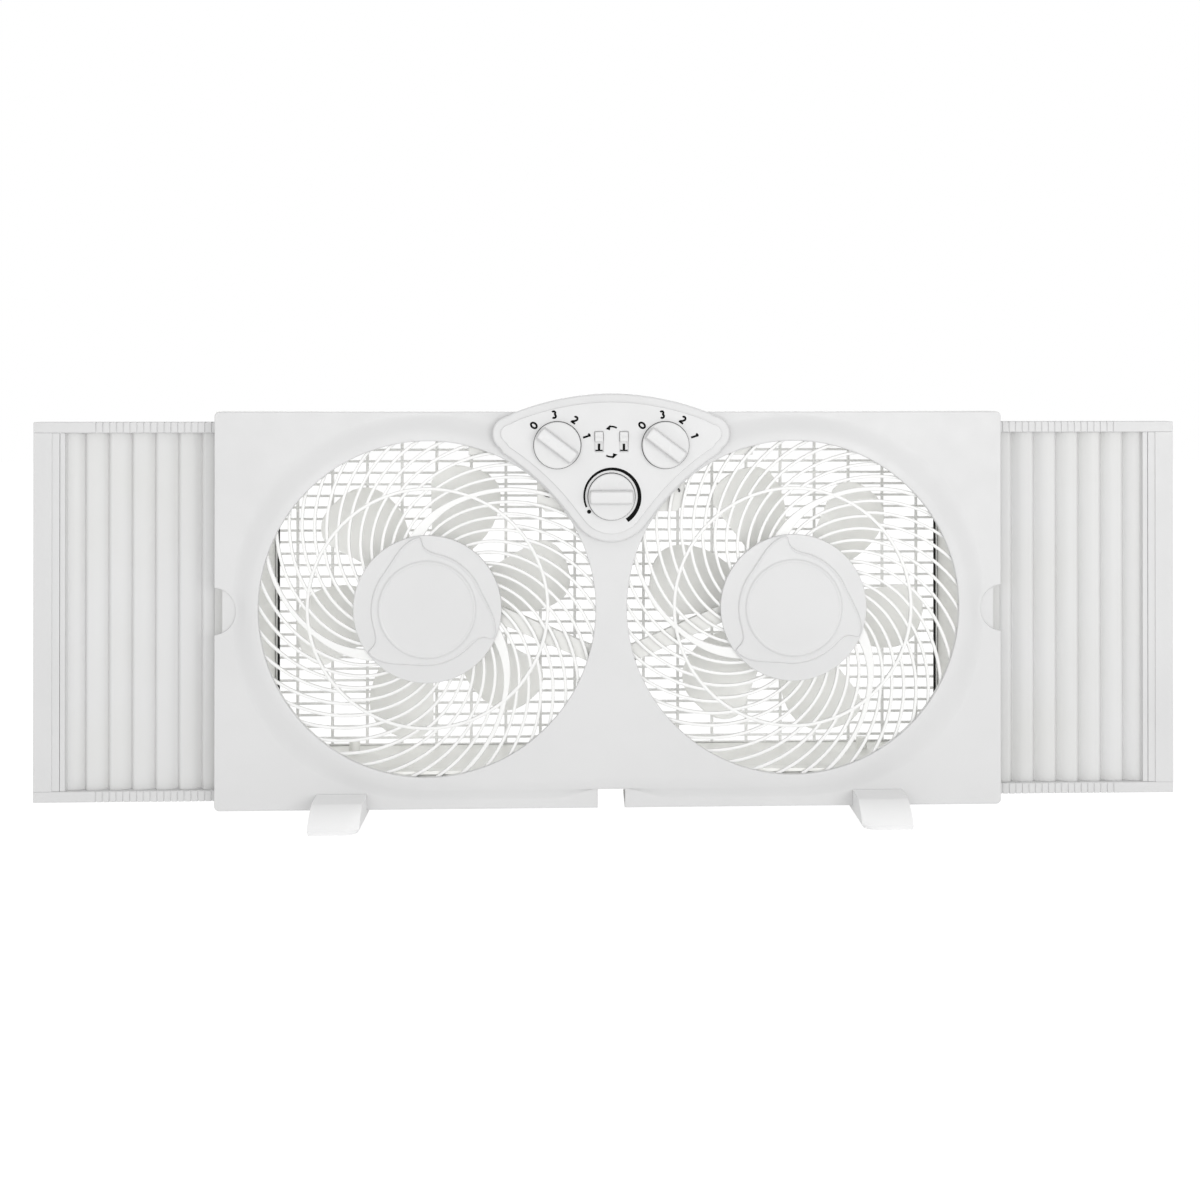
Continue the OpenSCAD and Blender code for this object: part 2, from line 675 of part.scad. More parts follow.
module impeller_nut(x) {
  color("#d9dadb") difference() {
    union() {
      rod(x, fan_z, shaft_r + 4, hub_y1, hub_y1 + 6, 6);
      rod(x, fan_z, shaft_r + 5.5, hub_y1, hub_y1 + 1.5, 48);
    }
    rod(x, fan_z, shaft_r + seat, hub_y1 - 1, hub_y1 + 5 + seat, 48);
  }
}

// ---------- wiring ----------
duct_w = 13;
duct_h = 7.5;
duct_t = 1.5;
// how far the duct's foot reaches below the bend of the leads
duct_sump = 6;
duct_a = [-fan_x + 43.6, fan_z + 0.3];
duct_b = [-9, fan_z - 41];
lead_r = 1.8;
lead_y = back_y + 2 * gap + duct_t + lead_r;
module strip_2d(a, b, w) {
  translate(a) rotate(heading(b - a)) translate([0, -w / 2]) square([norm(b - a), w]);
}
module duct_2d(d) {
  difference() {
    union() {
      strip_2d(duct_a, duct_b, duct_w - 2 * d);
      translate([-11.5 + d, duct_b[1] - duct_sump + d]) square([11.1 - 2 * d, tee_stem_z - gap - duct_b[1] + duct_sump]);
    }
    translate([-0.4 - d, 0]) square([60, plate_z1]);
    translate([-60, tee_stem_z]) square([120, 60]);
  }
}
module wire_duct() {
  color("#e2e3e4") difference() {
    slice(back_y + gap, back_y + gap + duct_h) duct_2d(0);
    slice(back_y + gap + duct_t, back_y + duct_h + 1) duct_2d(duct_t);
  }
}
// a straight round run from a to b in the plane y = lead_y
module lead_run(a, b) {
  translate([a[0], lead_y, a[1]]) rotate([0, 90 - heading(b - a), 0]) cylinder(r = lead_r, h = norm(b - a), $fn = small);
}
module motor_leads() {
  u = (duct_b - duct_a) / norm(duct_b - duct_a);
  start = duct_a - u * (norm(duct_a - [-fan_x, fan_z]) - motor_r - gap);
  bend = duct_a + u * ((-5.9 - duct_a[0]) / u[0]);
  color("#3a3c3e") union() {
    lead_run(start, bend);
    lead_run(bend, [bend[0], tee_stem_z + 8]);
    translate([bend[0], lead_y, bend[1]]) sphere(lead_r + 0.3, $fn = small);
  }
}

// ---------- controls ----------
switch_y = console_y + wall;
stem_end_y = switch_y + 17;
grip_w = 10.8;
module control_panel() {
  color("#f0f1f2") slice(panel_y, console_y) difference() {
    console_2d(6.5);
    stem_holes_2d();
  }
}
// knob with a grip bar across it, turned by a degrees
module knob(x, z, a) {
  y1 = panel_y - 0.5;
  color("#f2f3f3") union() {
    rod(x, z, knob_d / 2, y1 - 5, y1);
    intersection() {
      rod(x, z, knob_d / 2 - 0.4, y1 - knob_h, y1 - 4);
      slice(y1 - knob_h - 1, y1 - 3) translate([x, z]) rotate(a) square([knob_d + 2, grip_w], center = true);
    }
    rod(x, z, stem_d / 2, y1 - 1, stem_end_y, 48);
  }
}
module rotary_switch(x, z) {
  color("#4a4c4f") difference() {
    union() {
      rod(x, z, stem_d / 2 + 3, switch_y, switch_y + 3.5, 48);
      block(x - 11.5, x + 11.5, switch_y + 3, switch_y + 20, z - 13, z + 13);
      for (dx = [-9, 0, 9]) block(x + dx - 2.4, x + dx + 2.4, switch_y + 19, switch_y + 27, z - 0.4, z + 0.4);
    }
    rod(x, z, stem_d / 2 + bearing_gap, switch_y - 1, stem_end_y + 1, 48);
  }
}
module thermostat() {
  color("#4a4c4f") difference() {
    union() {
      rod(0, thermo_z, stem_d / 2 + 3, switch_y, switch_y + 3.5, 48);
      rod(0, thermo_z, 15, switch_y + 3, switch_y + 20);
      for (s = [-1, 1]) block(s * 8 - 2.4, s * 8 + 2.4, switch_y + 19, switch_y + 27, thermo_z - 0.4, thermo_z + 0.4);
    }
    rod(0, thermo_z, stem_d / 2 + bearing_gap, switch_y - 1, stem_end_y + 1, 48);
  }
}
module direction_button(x) {
  z = button_z + button_travel / 2;
  color("#f2f3f3") union() {
    block(x - button_w / 2, x + button_w / 2, panel_y - 2.5, switch_y + 1.5, z - button_h / 2, z + button_h / 2);
    block(x - button_w / 2 - 1.2, x + button_w / 2 + 1.2, switch_y + gap, switch_y + 2.2,
          z - button_h / 2 - button_travel - 1.5, z + button_h / 2 + 1.5);
    block(x - 2, x + 2, switch_y + 2, switch_y + 8, z - 2.5, z + 2.5);
  }
}
module direction_switch(x) {
  color("#4a4c4f") difference() {
    union() {
      block(x - 8.5, x + 8.5, switch_y + 2.5, switch_y + 16, button_z - 21, button_z + 17);
      for (dz = [-19.5, 15.5])
        block(x - 8.5, x + 8.5, switch_y, switch_y + 3, button_z + dz - 1.5, button_z + dz + 1.5);
    }
    block(x - 2 - gap, x + 2 + gap, switch_y + 2, switch_y + 8 + gap,
          button_z - button_travel / 2 - 2.5 - gap, button_z + button_travel / 2 + 2.5 + gap);
  }
}
module capacitor() {
  z0 = tee_z + wall + gap;
  color("#d8d9da") translate([-92, back_y + 40, z0]) {
    cube([30, 32, 16]);
    for (x = [11, 19]) translate([x - 1, -5, 7.5]) cube([2.5, 6, 0.8]);
  }
}

// ---------- side panels ----------
end_x = -overall_w / 2;
rail_in_x = end_x + slide_travel + 42;
lip_w = 11;
sheet_x0 = end_x + end_bar_w + lip_w + gap;
sheet_x1 = -half_chamber - wall - gap;
sheet_y = ext_y0 + panel_t / 2;
module end_bar() {
  z0 = rail_z0 + rail_h;
  z1 = rail_z1 - rail_h;
  color("#f0f1f2") union() {
    difference() {
      block(end_x, end_x + end_bar_w, ext_y0, ext_y1, z0, z1);
      block(end_x + wall, end_x + end_bar_w + 1, ext_y0 + wall, ext_y1 - wall, z0 + wall, z1 - wall);
    }
    block(end_x + wall - 1, end_x + end_bar_w + lip_w, sheet_y - 1.2, sheet_y + 1.2, z0 + 1, z1 - 1);
  }
}
// rail with grooves across its outer and front faces
module rail(z0, up) {
  groove_x = end_x + 50;
  color("#f2f3f3") difference() {
    block(end_x, rail_in_x, ext_y0, ext_y1, z0, z0 + rail_h);
    for (i = [0:groove_count - 1]) {
      x = groove_x + i * groove_pitch;
      block(x, x + 1.2, ext_y0 - 1, ext_y0 + 0.7, z0 - 1, z0 + rail_h + 1);
      block(x, x + 1.2, ext_y0 - 1, ext_y1 + 1, up ? z0 + rail_h - 0.7 : z0 - 1, up ? z0 + rail_h + 1 : z0 + 0.7);
    }
    // slot that the folding sheet's edge runs in
    block(end_x + end_bar_w, rail_in_x + 1, sheet_y - pleat_depth / 2 - 1.2, sheet_y + pleat_depth / 2 + 1.2,
          up ? z0 - 1 : z0 + rail_h - 2, up ? z0 + 2 : z0 + rail_h + 1);
  }
}
steps = 8 * pleat_count;
function pleat_y(i, d) = sheet_y + pleat_depth / 2 * sin(360 * i / 8) * 0.92 + d;
function pleat_x(i) = sheet_x0 + (sheet_x1 - sheet_x0) * i / steps;
module accordion() {
  color("#e9eaec") translate([0, 0, rail_z0 + rail_h + gap])
    linear_extrude(height = rail_z1 - rail_z0 - 2 * rail_h - 2 * gap) polygon(concat(
      [for (i = [0:steps]) [pleat_x(i), pleat_y(i, -sheet_t / 2)]],
      [for (i = [steps:-1:0]) [pleat_x(i), pleat_y(i, sheet_t / 2)]]));
}

// ---------- feet and fasteners ----------
heel_y = overall_d / 2;
module foot() {
  color("#ecedee") difference() {
    intersection() {
      translate([-foot_x - foot_w / 2, 0, 0]) rotate([90, 0, 90]) linear_extrude(height = foot_w)
        polygon(concat(
          [[-heel_y + 3, 0]],
          arc3([-heel_y, 4], [-heel_y + 9, toe_h - 8], [face_y - 22, toe_h - 1], 8),
          [[face_y - gap, toe_h], [face_y - gap, foot_lift], [track_y + wall + gap, foot_lift],
           [track_y + wall + gap, floor_z - wall], [rear_y, floor_z - wall]],
          arc3([rear_y + 4, toe_h - 3], [heel_y - 4, toe_h - 9], [heel_y, 4], 6),
          [[heel_y - 3, 0]]));
      slice(-heel_y - 1, heel_y + 1) round_rect(-foot_x - foot_w / 2, -foot_x + foot_w / 2, 0, 60, 5);
    }
    translate([-foot_x, foot_screw_y, -1]) cylinder(r = screw_d / 2 + 0.2, h = foot_lift + 2, $fn = small);
    translate([-foot_x, foot_screw_y, -1]) cylinder(r = screw_d + 0.8, h = 4.5, $fn = small);
    translate([-foot_x, rear_foot_y, -1]) cylinder(r = screw_d / 2 + 0.2, h = floor_z, $fn = small);
    translate([-foot_x, rear_foot_y, -1]) cylinder(r = screw_d + 0.8, h = floor_z - wall - 6, $fn = small);
  }
}
module screw(l) {
  cylinder(r = screw_d - 0.2, h = 2.4, $fn = small);
  translate([0, 0, 2]) cylinder(r = screw_d / 2 - 0.05, h = l - 2, $fn = small);
}
module housing_screws() {
  color("#9fa2a5") for (p = all_screws)
    translate([p[0], screw_seat_y + 2.4, p[1]]) rotate([90, 0, 0]) screw(24);
}
module foot_screws() {
  color("#9fa2a5") for (s = [-1, 1]) {
    translate([s * foot_x, foot_screw_y, 3.5 - 2.4]) screw(16);
    translate([s * foot_x, rear_foot_y, floor_z - wall - 7 - 2.4]) screw(18);
  }
}

left_turn = 12.6;
right_turn = -10.3;
speed_off = 143;
front_housing();
rear_housing();
rear_grille();
front_grille(-fan_x);  // left_front_grille
front_grille(fan_x);  // right_front_grille
hub_cap(-fan_x);  // left_hub_cap
hub_cap(fan_x);  // right_hub_cap
control_panel();
control_box();
knob(-knob_x, knob_z, speed_off);  // left_speed_knob
knob(knob_x, knob_z, speed_off);  // right_speed_knob
knob(0, thermo_z, 0);  // thermostat_knob
rotary_switch(-knob_x, knob_z);  // left_speed_switch
rotary_switch(knob_x, knob_z);  // right_speed_switch
thermostat();
direction_button(-button_x);  // left_direction_button
direction_button(button_x);  // right_direction_button
direction_switch(-button_x);  // left_direction_switch
direction_switch(button_x);  // right_direction_switch
capacitor();  // left_capacitor
side(1) capacitor();  // right_capacitor
front_bracket(-fan_x);  // left_motor_front_bracket
front_bracket(fan_x);  // right_motor_front_bracket
motor_core(-fan_x);  // left_motor_core
motor_core(fan_x);  // right_motor_core
motor_winding(-fan_x);  // left_motor_winding
motor_winding(fan_x);  // right_motor_winding
rear_bracket(-fan_x);  // left_motor_rear_bracket
rear_bracket(fan_x);  // right_motor_rear_bracket
bearings(-fan_x);  // left_motor_bearings
bearings(fan_x);  // right_motor_bearings
motor_shaft(-fan_x);  // left_motor_shaft
motor_shaft(fan_x);  // right_motor_shaft
rotor_core(-fan_x);  // left_rotor_core
rotor_core(fan_x);  // right_rotor_core
impeller(-fan_x, left_turn);  // left_impeller
impeller(fan_x, right_turn);  // right_impeller
impeller_nut(-fan_x);  // left_impeller_nut
impeller_nut(fan_x);  // right_impeller_nut
wire_duct();  // left_wire_duct
side(1) wire_duct();  // right_wire_duct
motor_leads();  // left_motor_leads
side(1) motor_leads();  // right_motor_leads
end_bar();  // left_end_bar
side(1) end_bar();  // right_end_bar
rail(rail_z1 - rail_h, true);  // left_top_rail
side(1) rail(rail_z1 - rail_h, true);  // right_top_rail
rail(rail_z0, false);  // left_bottom_rail
side(1) rail(rail_z0, false);  // right_bottom_rail
accordion();  // left_accordion
side(1) accordion();  // right_accordion
foot();  // left_foot
side(1) foot();  // right_foot
housing_screws();
foot_screws();
inlet_bush();
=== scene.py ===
import math

import bmesh
import bpy
from mathutils import Matrix, Vector
from mathutils.geometry import tessellate_polygon


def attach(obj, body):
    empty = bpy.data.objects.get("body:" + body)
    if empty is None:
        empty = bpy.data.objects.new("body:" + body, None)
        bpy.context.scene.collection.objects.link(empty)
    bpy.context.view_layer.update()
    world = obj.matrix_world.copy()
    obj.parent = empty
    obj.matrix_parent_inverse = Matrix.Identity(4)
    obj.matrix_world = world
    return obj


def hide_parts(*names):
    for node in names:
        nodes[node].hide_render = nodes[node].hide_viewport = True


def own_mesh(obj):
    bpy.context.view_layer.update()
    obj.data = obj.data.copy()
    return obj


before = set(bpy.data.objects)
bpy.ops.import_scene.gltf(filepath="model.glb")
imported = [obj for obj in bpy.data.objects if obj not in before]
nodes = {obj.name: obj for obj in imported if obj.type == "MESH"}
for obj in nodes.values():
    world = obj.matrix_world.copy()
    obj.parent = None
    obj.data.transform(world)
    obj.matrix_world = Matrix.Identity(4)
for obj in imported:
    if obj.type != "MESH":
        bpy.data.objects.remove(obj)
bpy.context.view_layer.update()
mm = 0.001
sides = (("left", -1), ("right", 1))

# places that several pieces share, in mm: x across, y front to back, z up
at = {
    "fanX": 148, "fanZ": 170,
    "platformFront": -39, "face": -35, "plateBack": -32, "split": -20, "skirtBack": -16, "trackY": 7,
    "panelFront": -47.5, "consoleFront": -46, "consoleBack": -36.3,
    "plateLow": 8, "plateHigh": 329, "halfPlate": 319,
    "floorZ": 38, "ceilingZ": 308.5, "halfChamber": 289, "widened": 6,
    "knobX": 43.4, "knobZ": 302.3, "dialZ": 261, "buttonX": 10, "buttonZ": 305,
}
middleZ = (at["plateLow"] + at["plateHigh"]) / 2
fans = [(s * at["fanX"], at["fanZ"]) for _, s in sides]


# outlines are lists of points in x and z
def polar(r, a, centre=(0, 0)):
    return (centre[0] + r * math.cos(math.radians(a)), centre[1] + r * math.sin(math.radians(a)))


def arc(centre, r, a0, a1, n):
    return [polar(r, a0 + (a1 - a0) * i / n, centre) for i in range(n + 1)]


def circle(centre, r, n):
    return arc(centre, r, 0, 360, n)[:-1]


def arcThrough(a, b, c, n):
    d = 2 * (a[0] * (b[1] - c[1]) + b[0] * (c[1] - a[1]) + c[0] * (a[1] - b[1]))
    sq = [p[0] ** 2 + p[1] ** 2 for p in (a, b, c)]
    x = (sq[0] * (b[1] - c[1]) + sq[1] * (c[1] - a[1]) + sq[2] * (a[1] - b[1])) / d
    z = (sq[0] * (c[0] - b[0]) + sq[1] * (a[0] - c[0]) + sq[2] * (b[0] - a[0])) / d
    angles = [math.degrees(math.atan2(p[1] - z, p[0] - x)) for p in (a, b, c)]
    turn = lambda p, q: (q - p + 540) % 360 - 180
    sweep = turn(angles[0], angles[1]) + turn(angles[1], angles[2])
    return arc((x, z), math.hypot(a[0] - x, a[1] - z), angles[0], angles[0] + sweep, n)


def roundRect(x0, x1, z0, z1, r, n=6):
    corners = ((x0 + r, z1 - r, 180), (x1 - r, z1 - r, 90), (x1 - r, z0 + r, 0), (x0 + r, z0 + r, -90))
    return [p for x, z, a in corners for p in arc((x, z), r, a, a - 90, n)]


# moves an outline by d, or by one distance for each point, into the material: a rim shrinks, a hole grows
def inset(points, d, hole=False):
    area = sum(p[0] * q[1] - q[0] * p[1] for p, q in zip(points, points[1:] + points[:1]))
    n, result, way = len(points), [], -1 if (area > 0) != hole else 1
    reach = d if isinstance(d, list) else [d] * n
    for i, p in enumerate(points):
        ux, uz = p[0] - points[i - 1][0], p[1] - points[i - 1][1]
        vx, vz = points[(i + 1) % n][0] - p[0], points[(i + 1) % n][1] - p[1]
        a, b = math.hypot(ux, uz), math.hypot(vx, vz)
        mx, mz = uz / a + vz / b, -ux / a - vx / b
        k = 2 * way * reach[i] / (mx * mx + mz * mz)
        result.append((p[0] + k * mx, p[1] + k * mz))
    return result


# the faces between rings of n corners; without wrap the rings are open rows
def quads(rings, n, closed=False, base=0, wrap=True):
    faces = []
    for i in range(rings if closed else rings - 1):
        a, b = base + i * n, base + (i + 1) % rings * n
        faces += [(a + j, a + (j + 1) % n, b + (j + 1) % n, b + j) for j in range(n if wrap else n - 1)]
    return faces


def endFaces(rings, n):
    return [tuple(range(n)), tuple((rings - 1) * n + j for j in range(n))]


# each shape is its corners in mm and its faces; this one is a bar of rounded section along a path in x and z
def strip(path, width, y0, y1, edge=0.4, closed=False, steps=2):
    n, verts = len(path), []
    widths = width if isinstance(width, list) else [width] * n
    ring, half = 4 * (steps + 1), (y1 - y0) / 2
    for i, (x, z) in enumerate(path):
        a = path[i - 1] if closed or i else path[i]
        b = path[(i + 1) % n] if closed or i < n - 1 else path[i]
        ux, uz = b[0] - a[0], b[1] - a[1]
        length = math.hypot(ux, uz)
        for k, (sx, sy) in enumerate(((1, 1), (-1, 1), (-1, -1), (1, -1))):
            for j in range(steps + 1):
                t = math.radians(90 * (k + j / steps))
                across = sx * (widths[i] / 2 - edge) + edge * math.cos(t)
                depth = (y0 + y1) / 2 + sy * (half - edge) + edge * math.sin(t)
                verts.append((x - uz / length * across, depth, z + ux / length * across))
    return verts, quads(n, ring, closed) + ([] if closed else endFaces(n, ring))


# a turned form about an axis along y; the profile lists radius and depth
def lathe(profile, x, z, n, closed=False):
    verts = [(px, y, pz) for r, y in profile for px, pz in circle((x, z), r, n)]
    return verts, quads(len(profile), n, closed)


# a profile for a turned disc from radius r0 to r1 with rounded outer corners
def roundedDisc(r1, y0, y1, edge, r0=0, steps=3):
    turns = [math.radians(90 * i / steps) for i in range(steps + 1)]
    front = [(r1 - edge + edge * math.sin(t), y0 + edge - edge * math.cos(t)) for t in turns]
    return [(r0, y0)] + front + [(r, y0 + y1 - y) for r, y in reversed(front)] + [(r0, y1)]


# how far an edge is drawn in at each depth, rounded at the front and the back
def edgeProfile(y0, y1, front, back=None, steps=3):
    back = front if back is None else back
    turns = [math.radians(90 * i / steps) for i in range(steps + 1)]
    return ([(front * (1 - math.sin(t)), y0 + front * (1 - math.cos(t))) for t in turns]
            + [(back * (1 - math.sin(t)), y1 - back * (1 - math.cos(t))) for t in reversed(turns)])


def straight(y0, y1):
    return [(0, y0), (0, y1)]


# a plate cut from outlines, the first one its rim and the rest holes; profiles are the rim's and the holes' own
def plate(outlines, y0, y1, edge=0.6, steps=3, profiles=None):
    verts, faces, front, back = [], [], [], []
    profiles = profiles or [edgeProfile(y0, y1, edge, steps=steps)]
    for k, points in enumerate(outlines):
        profile = profiles[min(k, len(profiles) - 1)]
        base, n = len(verts), len(points)
        for d, y in profile:
            verts += [(x, y, z) for x, z in inset(points, d, k > 0)]
        faces += quads(len(profile), n, base=base)
        front.append(range(base, base + n))
        back.append(range(base + (len(profile) - 1) * n, base + len(profile) * n))
    for rings in (front, back):
        flat = [i for ring in rings for i in ring]
        loops = [[Vector((verts[i][0], verts[i][2], 0)) for i in ring] for ring in rings]
        faces += [tuple(flat[i] for i in corners) for corners in tessellate_polygon(loops)]
    return verts, faces


def block(x0, x1, y0, y1, z0, z1, edge=0.5, steps=2):
    bm = bmesh.new()
    bmesh.ops.create_cube(bm, size=1)
    for v in bm.verts:
        v.co = Vector((x0 if v.co.x < 0 else x1, y0 if v.co.y < 0 else y1, z0 if v.co.z < 0 else z1))
    bmesh.ops.bevel(bm, geom=bm.edges[:], offset=edge, segments=steps, affect="EDGES", profile=0.5)
    bm.verts.index_update()
    shape = [tuple(v.co) for v in bm.verts], [tuple(v.index for v in f.verts) for f in bm.faces]
    bm.free()
    return shape


def moved(shape, matrix):
    return [tuple(matrix @ Vector(v)) for v in shape[0]], shape[1]


def newObject(name, data):
    obj = bpy.data.objects.new(name, data)
    bpy.context.scene.collection.objects.link(obj)
    return obj


def fromBmesh(name, bm):
    mesh = bpy.data.meshes.new(name)
    bm.to_mesh(mesh)
    bm.free()
    return newObject(name, mesh)


# bakes the modifiers in, so that the mesh is final
def applied(obj):
    graph = bpy.context.evaluated_depsgraph_get()
    mesh = bpy.data.meshes.new_from_object(obj.evaluated_get(graph), preserve_all_data_layers=True, depsgraph=graph)
    obj.modifiers.clear()
    obj.data = mesh
    return obj


def dress(obj, look, body, replaced, sharp=38):
    obj.data.shade_smooth()
    obj.data.set_sharp_from_angle(angle=math.radians(sharp))
    obj.modifiers.new("evenNormals", "WEIGHTED_NORMAL").keep_sharp = True
    applied(obj)
    obj.data.materials.clear()
    obj.data.materials.append(skin[look])
    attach(obj, body)
    if replaced:
        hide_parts(*replaced)
    return obj


def make(name, shapes, look, body="root", replaced=(), sharp=38):
    bm = bmesh.new()
    for verts, faces in shapes:
        made = [bm.verts.new((x * mm, y * mm, z * mm)) for x, y, z in verts]
        for face in faces:
            bm.faces.new([made[i] for i in face])
        bmesh.ops.remove_doubles(bm, verts=made, dist=2e-6)
    bmesh.ops.recalc_face_normals(bm, faces=bm.faces)
    return dress(fromBmesh(name, bm), look, body, replaced, sharp)


# a copy of a frame solid with its edges rounded off, which takes that solid's place
def softened(node, look, edge, body="root", steps=2, reshape=None):
    bm = bmesh.new()
    bm.from_mesh(nodes[node].data)
    bmesh.ops.remove_doubles(bm, verts=bm.verts, dist=1e-6)
    bmesh.ops.dissolve_limit(bm, angle_limit=math.radians(1), verts=bm.verts, edges=bm.edges)
    if reshape:
        reshape(bm)
    first, *words = node.split("_")
    obj = fromBmesh(first + "".join(w.title() for w in words), bm)
    bevel = obj.modifiers.new("softEdges", "BEVEL")
    bevel.width, bevel.segments, bevel.limit_method = edge * mm, steps, "ANGLE"
    bevel.angle_limit = math.radians(40)
    return dress(applied(obj), look, body, (node,))


# finishes: groups put out a colour, a roughness and a height, and start from the values given here
def newGroup(name, inputs):
    group = bpy.data.node_groups.new(name, "ShaderNodeTree")
    kinds = {3: "NodeSocketVector", 4: "NodeSocketColor"}
    for label, value in inputs.items():
        kind = kinds[len(value)] if isinstance(value, tuple) else "NodeSocketFloat"
        group.interface.new_socket(label, in_out="INPUT", socket_type=kind).default_value = value
    for label, kind in (("Colour", "NodeSocketColor"), ("Roughness", "NodeSocketFloat"), ("Height", "NodeSocketFloat")):
        group.interface.new_socket(label, in_out="OUTPUT", socket_type=kind)
    return group, group.nodes.new("NodeGroupInput").outputs, group.nodes.new("ShaderNodeTexCoord").outputs["Object"]


def feed(tree, socket, value):
    if isinstance(value, (int, float, tuple)):
        socket.default_value = value
    else:
        tree.links.new(value, socket)


def noise(tree, vector, scale, detail=2):
    node = tree.nodes.new("ShaderNodeTexNoise")
    for socket, value in (("Vector", vector), ("Scale", scale), ("Detail", detail)):
        feed(tree, node.inputs[socket], value)
    return node.outputs["Fac"]


def stretched(tree, vector, scale):
    node = tree.nodes.new("ShaderNodeMapping")
    feed(tree, node.inputs["Vector"], vector)
    feed(tree, node.inputs["Scale"], scale)
    return node.outputs["Vector"]


def mapRange(tree, value, low, high, toLow=0, toHigh=1):
    node = tree.nodes.new("ShaderNodeMapRange")
    values = {"Value": value, "From Min": low, "From Max": high, "To Min": toLow, "To Max": toHigh}
    for socket, setting in values.items():
        feed(tree, node.inputs[socket], setting)
    return node.outputs["Result"]


# mixes a group's two colours by a mask and joins its outputs
def finishGroup(group, mask, a, b, rough, height):
    mix = group.nodes.new("ShaderNodeMix")
    mix.data_type = "RGBA"
    out = group.nodes.new("NodeGroupOutput").inputs
    for source, socket in ((mask, mix.inputs["Factor"]), (a, mix.inputs[6]), (b, mix.inputs[7]),
                           (mix.outputs[2], out["Colour"]), (rough, out["Roughness"]), (height, out["Height"])):
        group.links.new(source, socket)
    return group


# moulded plastic: cloudy tone, patchy gloss and a fine spark-eroded grain
def mouldedGroup():
    group, given, place = newGroup("mouldedSkin", {
        "Colour": (0.8, 0.8, 0.8, 1), "Tone": (0.7, 0.7, 0.7, 1), "Patch Scale": 14, "Grain Scale": 1400,
        "Gloss Low": 0.3, "Gloss High": 0.45})
    clouds = mapRange(group, noise(group, place, given["Patch Scale"], 3), 0.35, 0.7)
    gloss = mapRange(group, noise(group, place, 60, 1), 0.3, 0.7, given["Gloss Low"], given["Gloss High"])
    specks = noise(group, place, given["Grain Scale"], 1)
    return finishGroup(group, clouds, given["Colour"], given["Tone"], gloss, specks)


# thin extruded sheet: fine drawn lines that run up the pleats
def drawnGroup():
    group, given, place = newGroup("drawnSheet", {
        "Colour": (0.8, 0.8, 0.8, 1), "Tone": (0.7, 0.7, 0.7, 1), "Line Scale": 420})
    clouds = mapRange(group, noise(group, place, 9, 3), 0.35, 0.7)
    lines = noise(group, stretched(group, place, (1, 1, 0.01)), given["Line Scale"])
    rough = mapRange(group, lines, 0.3, 0.7, 0.42, 0.56)
    return finishGroup(group, clouds, given["Colour"], given["Tone"], rough, lines)


# worked metal: turned or rolled lines along one axis, with stains in the colour
def metalGroup():
    group, given, place = newGroup("workedMetal", {
        "Colour": (0.6, 0.6, 0.6, 1), "Stain": (0.4, 0.4, 0.4, 1), "Stretch": (1, 1, 1), "Line Scale": 900,
        "Rough Low": 0.2, "Rough High": 0.4})
    stains = mapRange(group, noise(group, place, 120, 4), 0.4, 0.75)
    lines = noise(group, stretched(group, place, given["Stretch"]), given["Line Scale"])
    rough = mapRange(group, lines, 0.3, 0.7, given["Rough Low"], given["Rough High"])
    return finishGroup(group, stains, given["Colour"], given["Stain"], rough, lines)


groups = {"moulded": mouldedGroup(), "drawn": drawnGroup(), "metal": metalGroup()}


def finish(name, kind, settings, shader, bump, bumpDistance=0.05):
    material = bpy.data.materials.new(name)
    material.use_nodes = True
    tree = material.node_tree
    principled = tree.nodes["Principled BSDF"]
    group = tree.nodes.new("ShaderNodeGroup")
    group.node_tree = groups[kind]
    relief = tree.nodes.new("ShaderNodeBump")
    for node, values in ((principled, shader), (group, settings),
                         (relief, {"Strength": bump, "Distance": bumpDistance * mm})):
        for socket, value in values.items():
            node.inputs[socket].default_value = value
    tree.links.new(group.outputs["Colour"], principled.inputs["Base Color"])
    tree.links.new(group.outputs["Roughness"], principled.inputs["Roughness"])
    tree.links.new(group.outputs["Height"], relief.inputs["Height"])
    tree.links.new(relief.outputs["Normal"], principled.inputs["Normal"])
    return material


# a colour, or a grey given as one number, times a factor
def shade(colour, factor=1):
    rgb = colour if isinstance(colour, tuple) else (colour,) * 3
    return tuple(c * factor for c in rgb) + (1,)


def plastic(name, colour, tone=0.97, grain=1400, gloss=(0.34, 0.46), ior=1.46):
    settings = {"Colour": shade(colour), "Tone": shade(colour, tone), "Patch Scale": 14, "Grain Scale": grain,
                "Gloss Low": gloss[0], "Gloss High": gloss[1]}
    return finish(name, "moulded", settings, {"IOR": ior}, 0.12)


def metal(name, colour, stain, stretch, lines, rough, bump=0.2):
    settings = {"Colour": shade(colour), "Stain": shade(stain), "Stretch": stretch, "Line Scale": lines,
                "Rough Low": rough[0], "Rough High": rough[1]}
    return finish(name, "metal", settings, {"Metallic": 1}, bump)


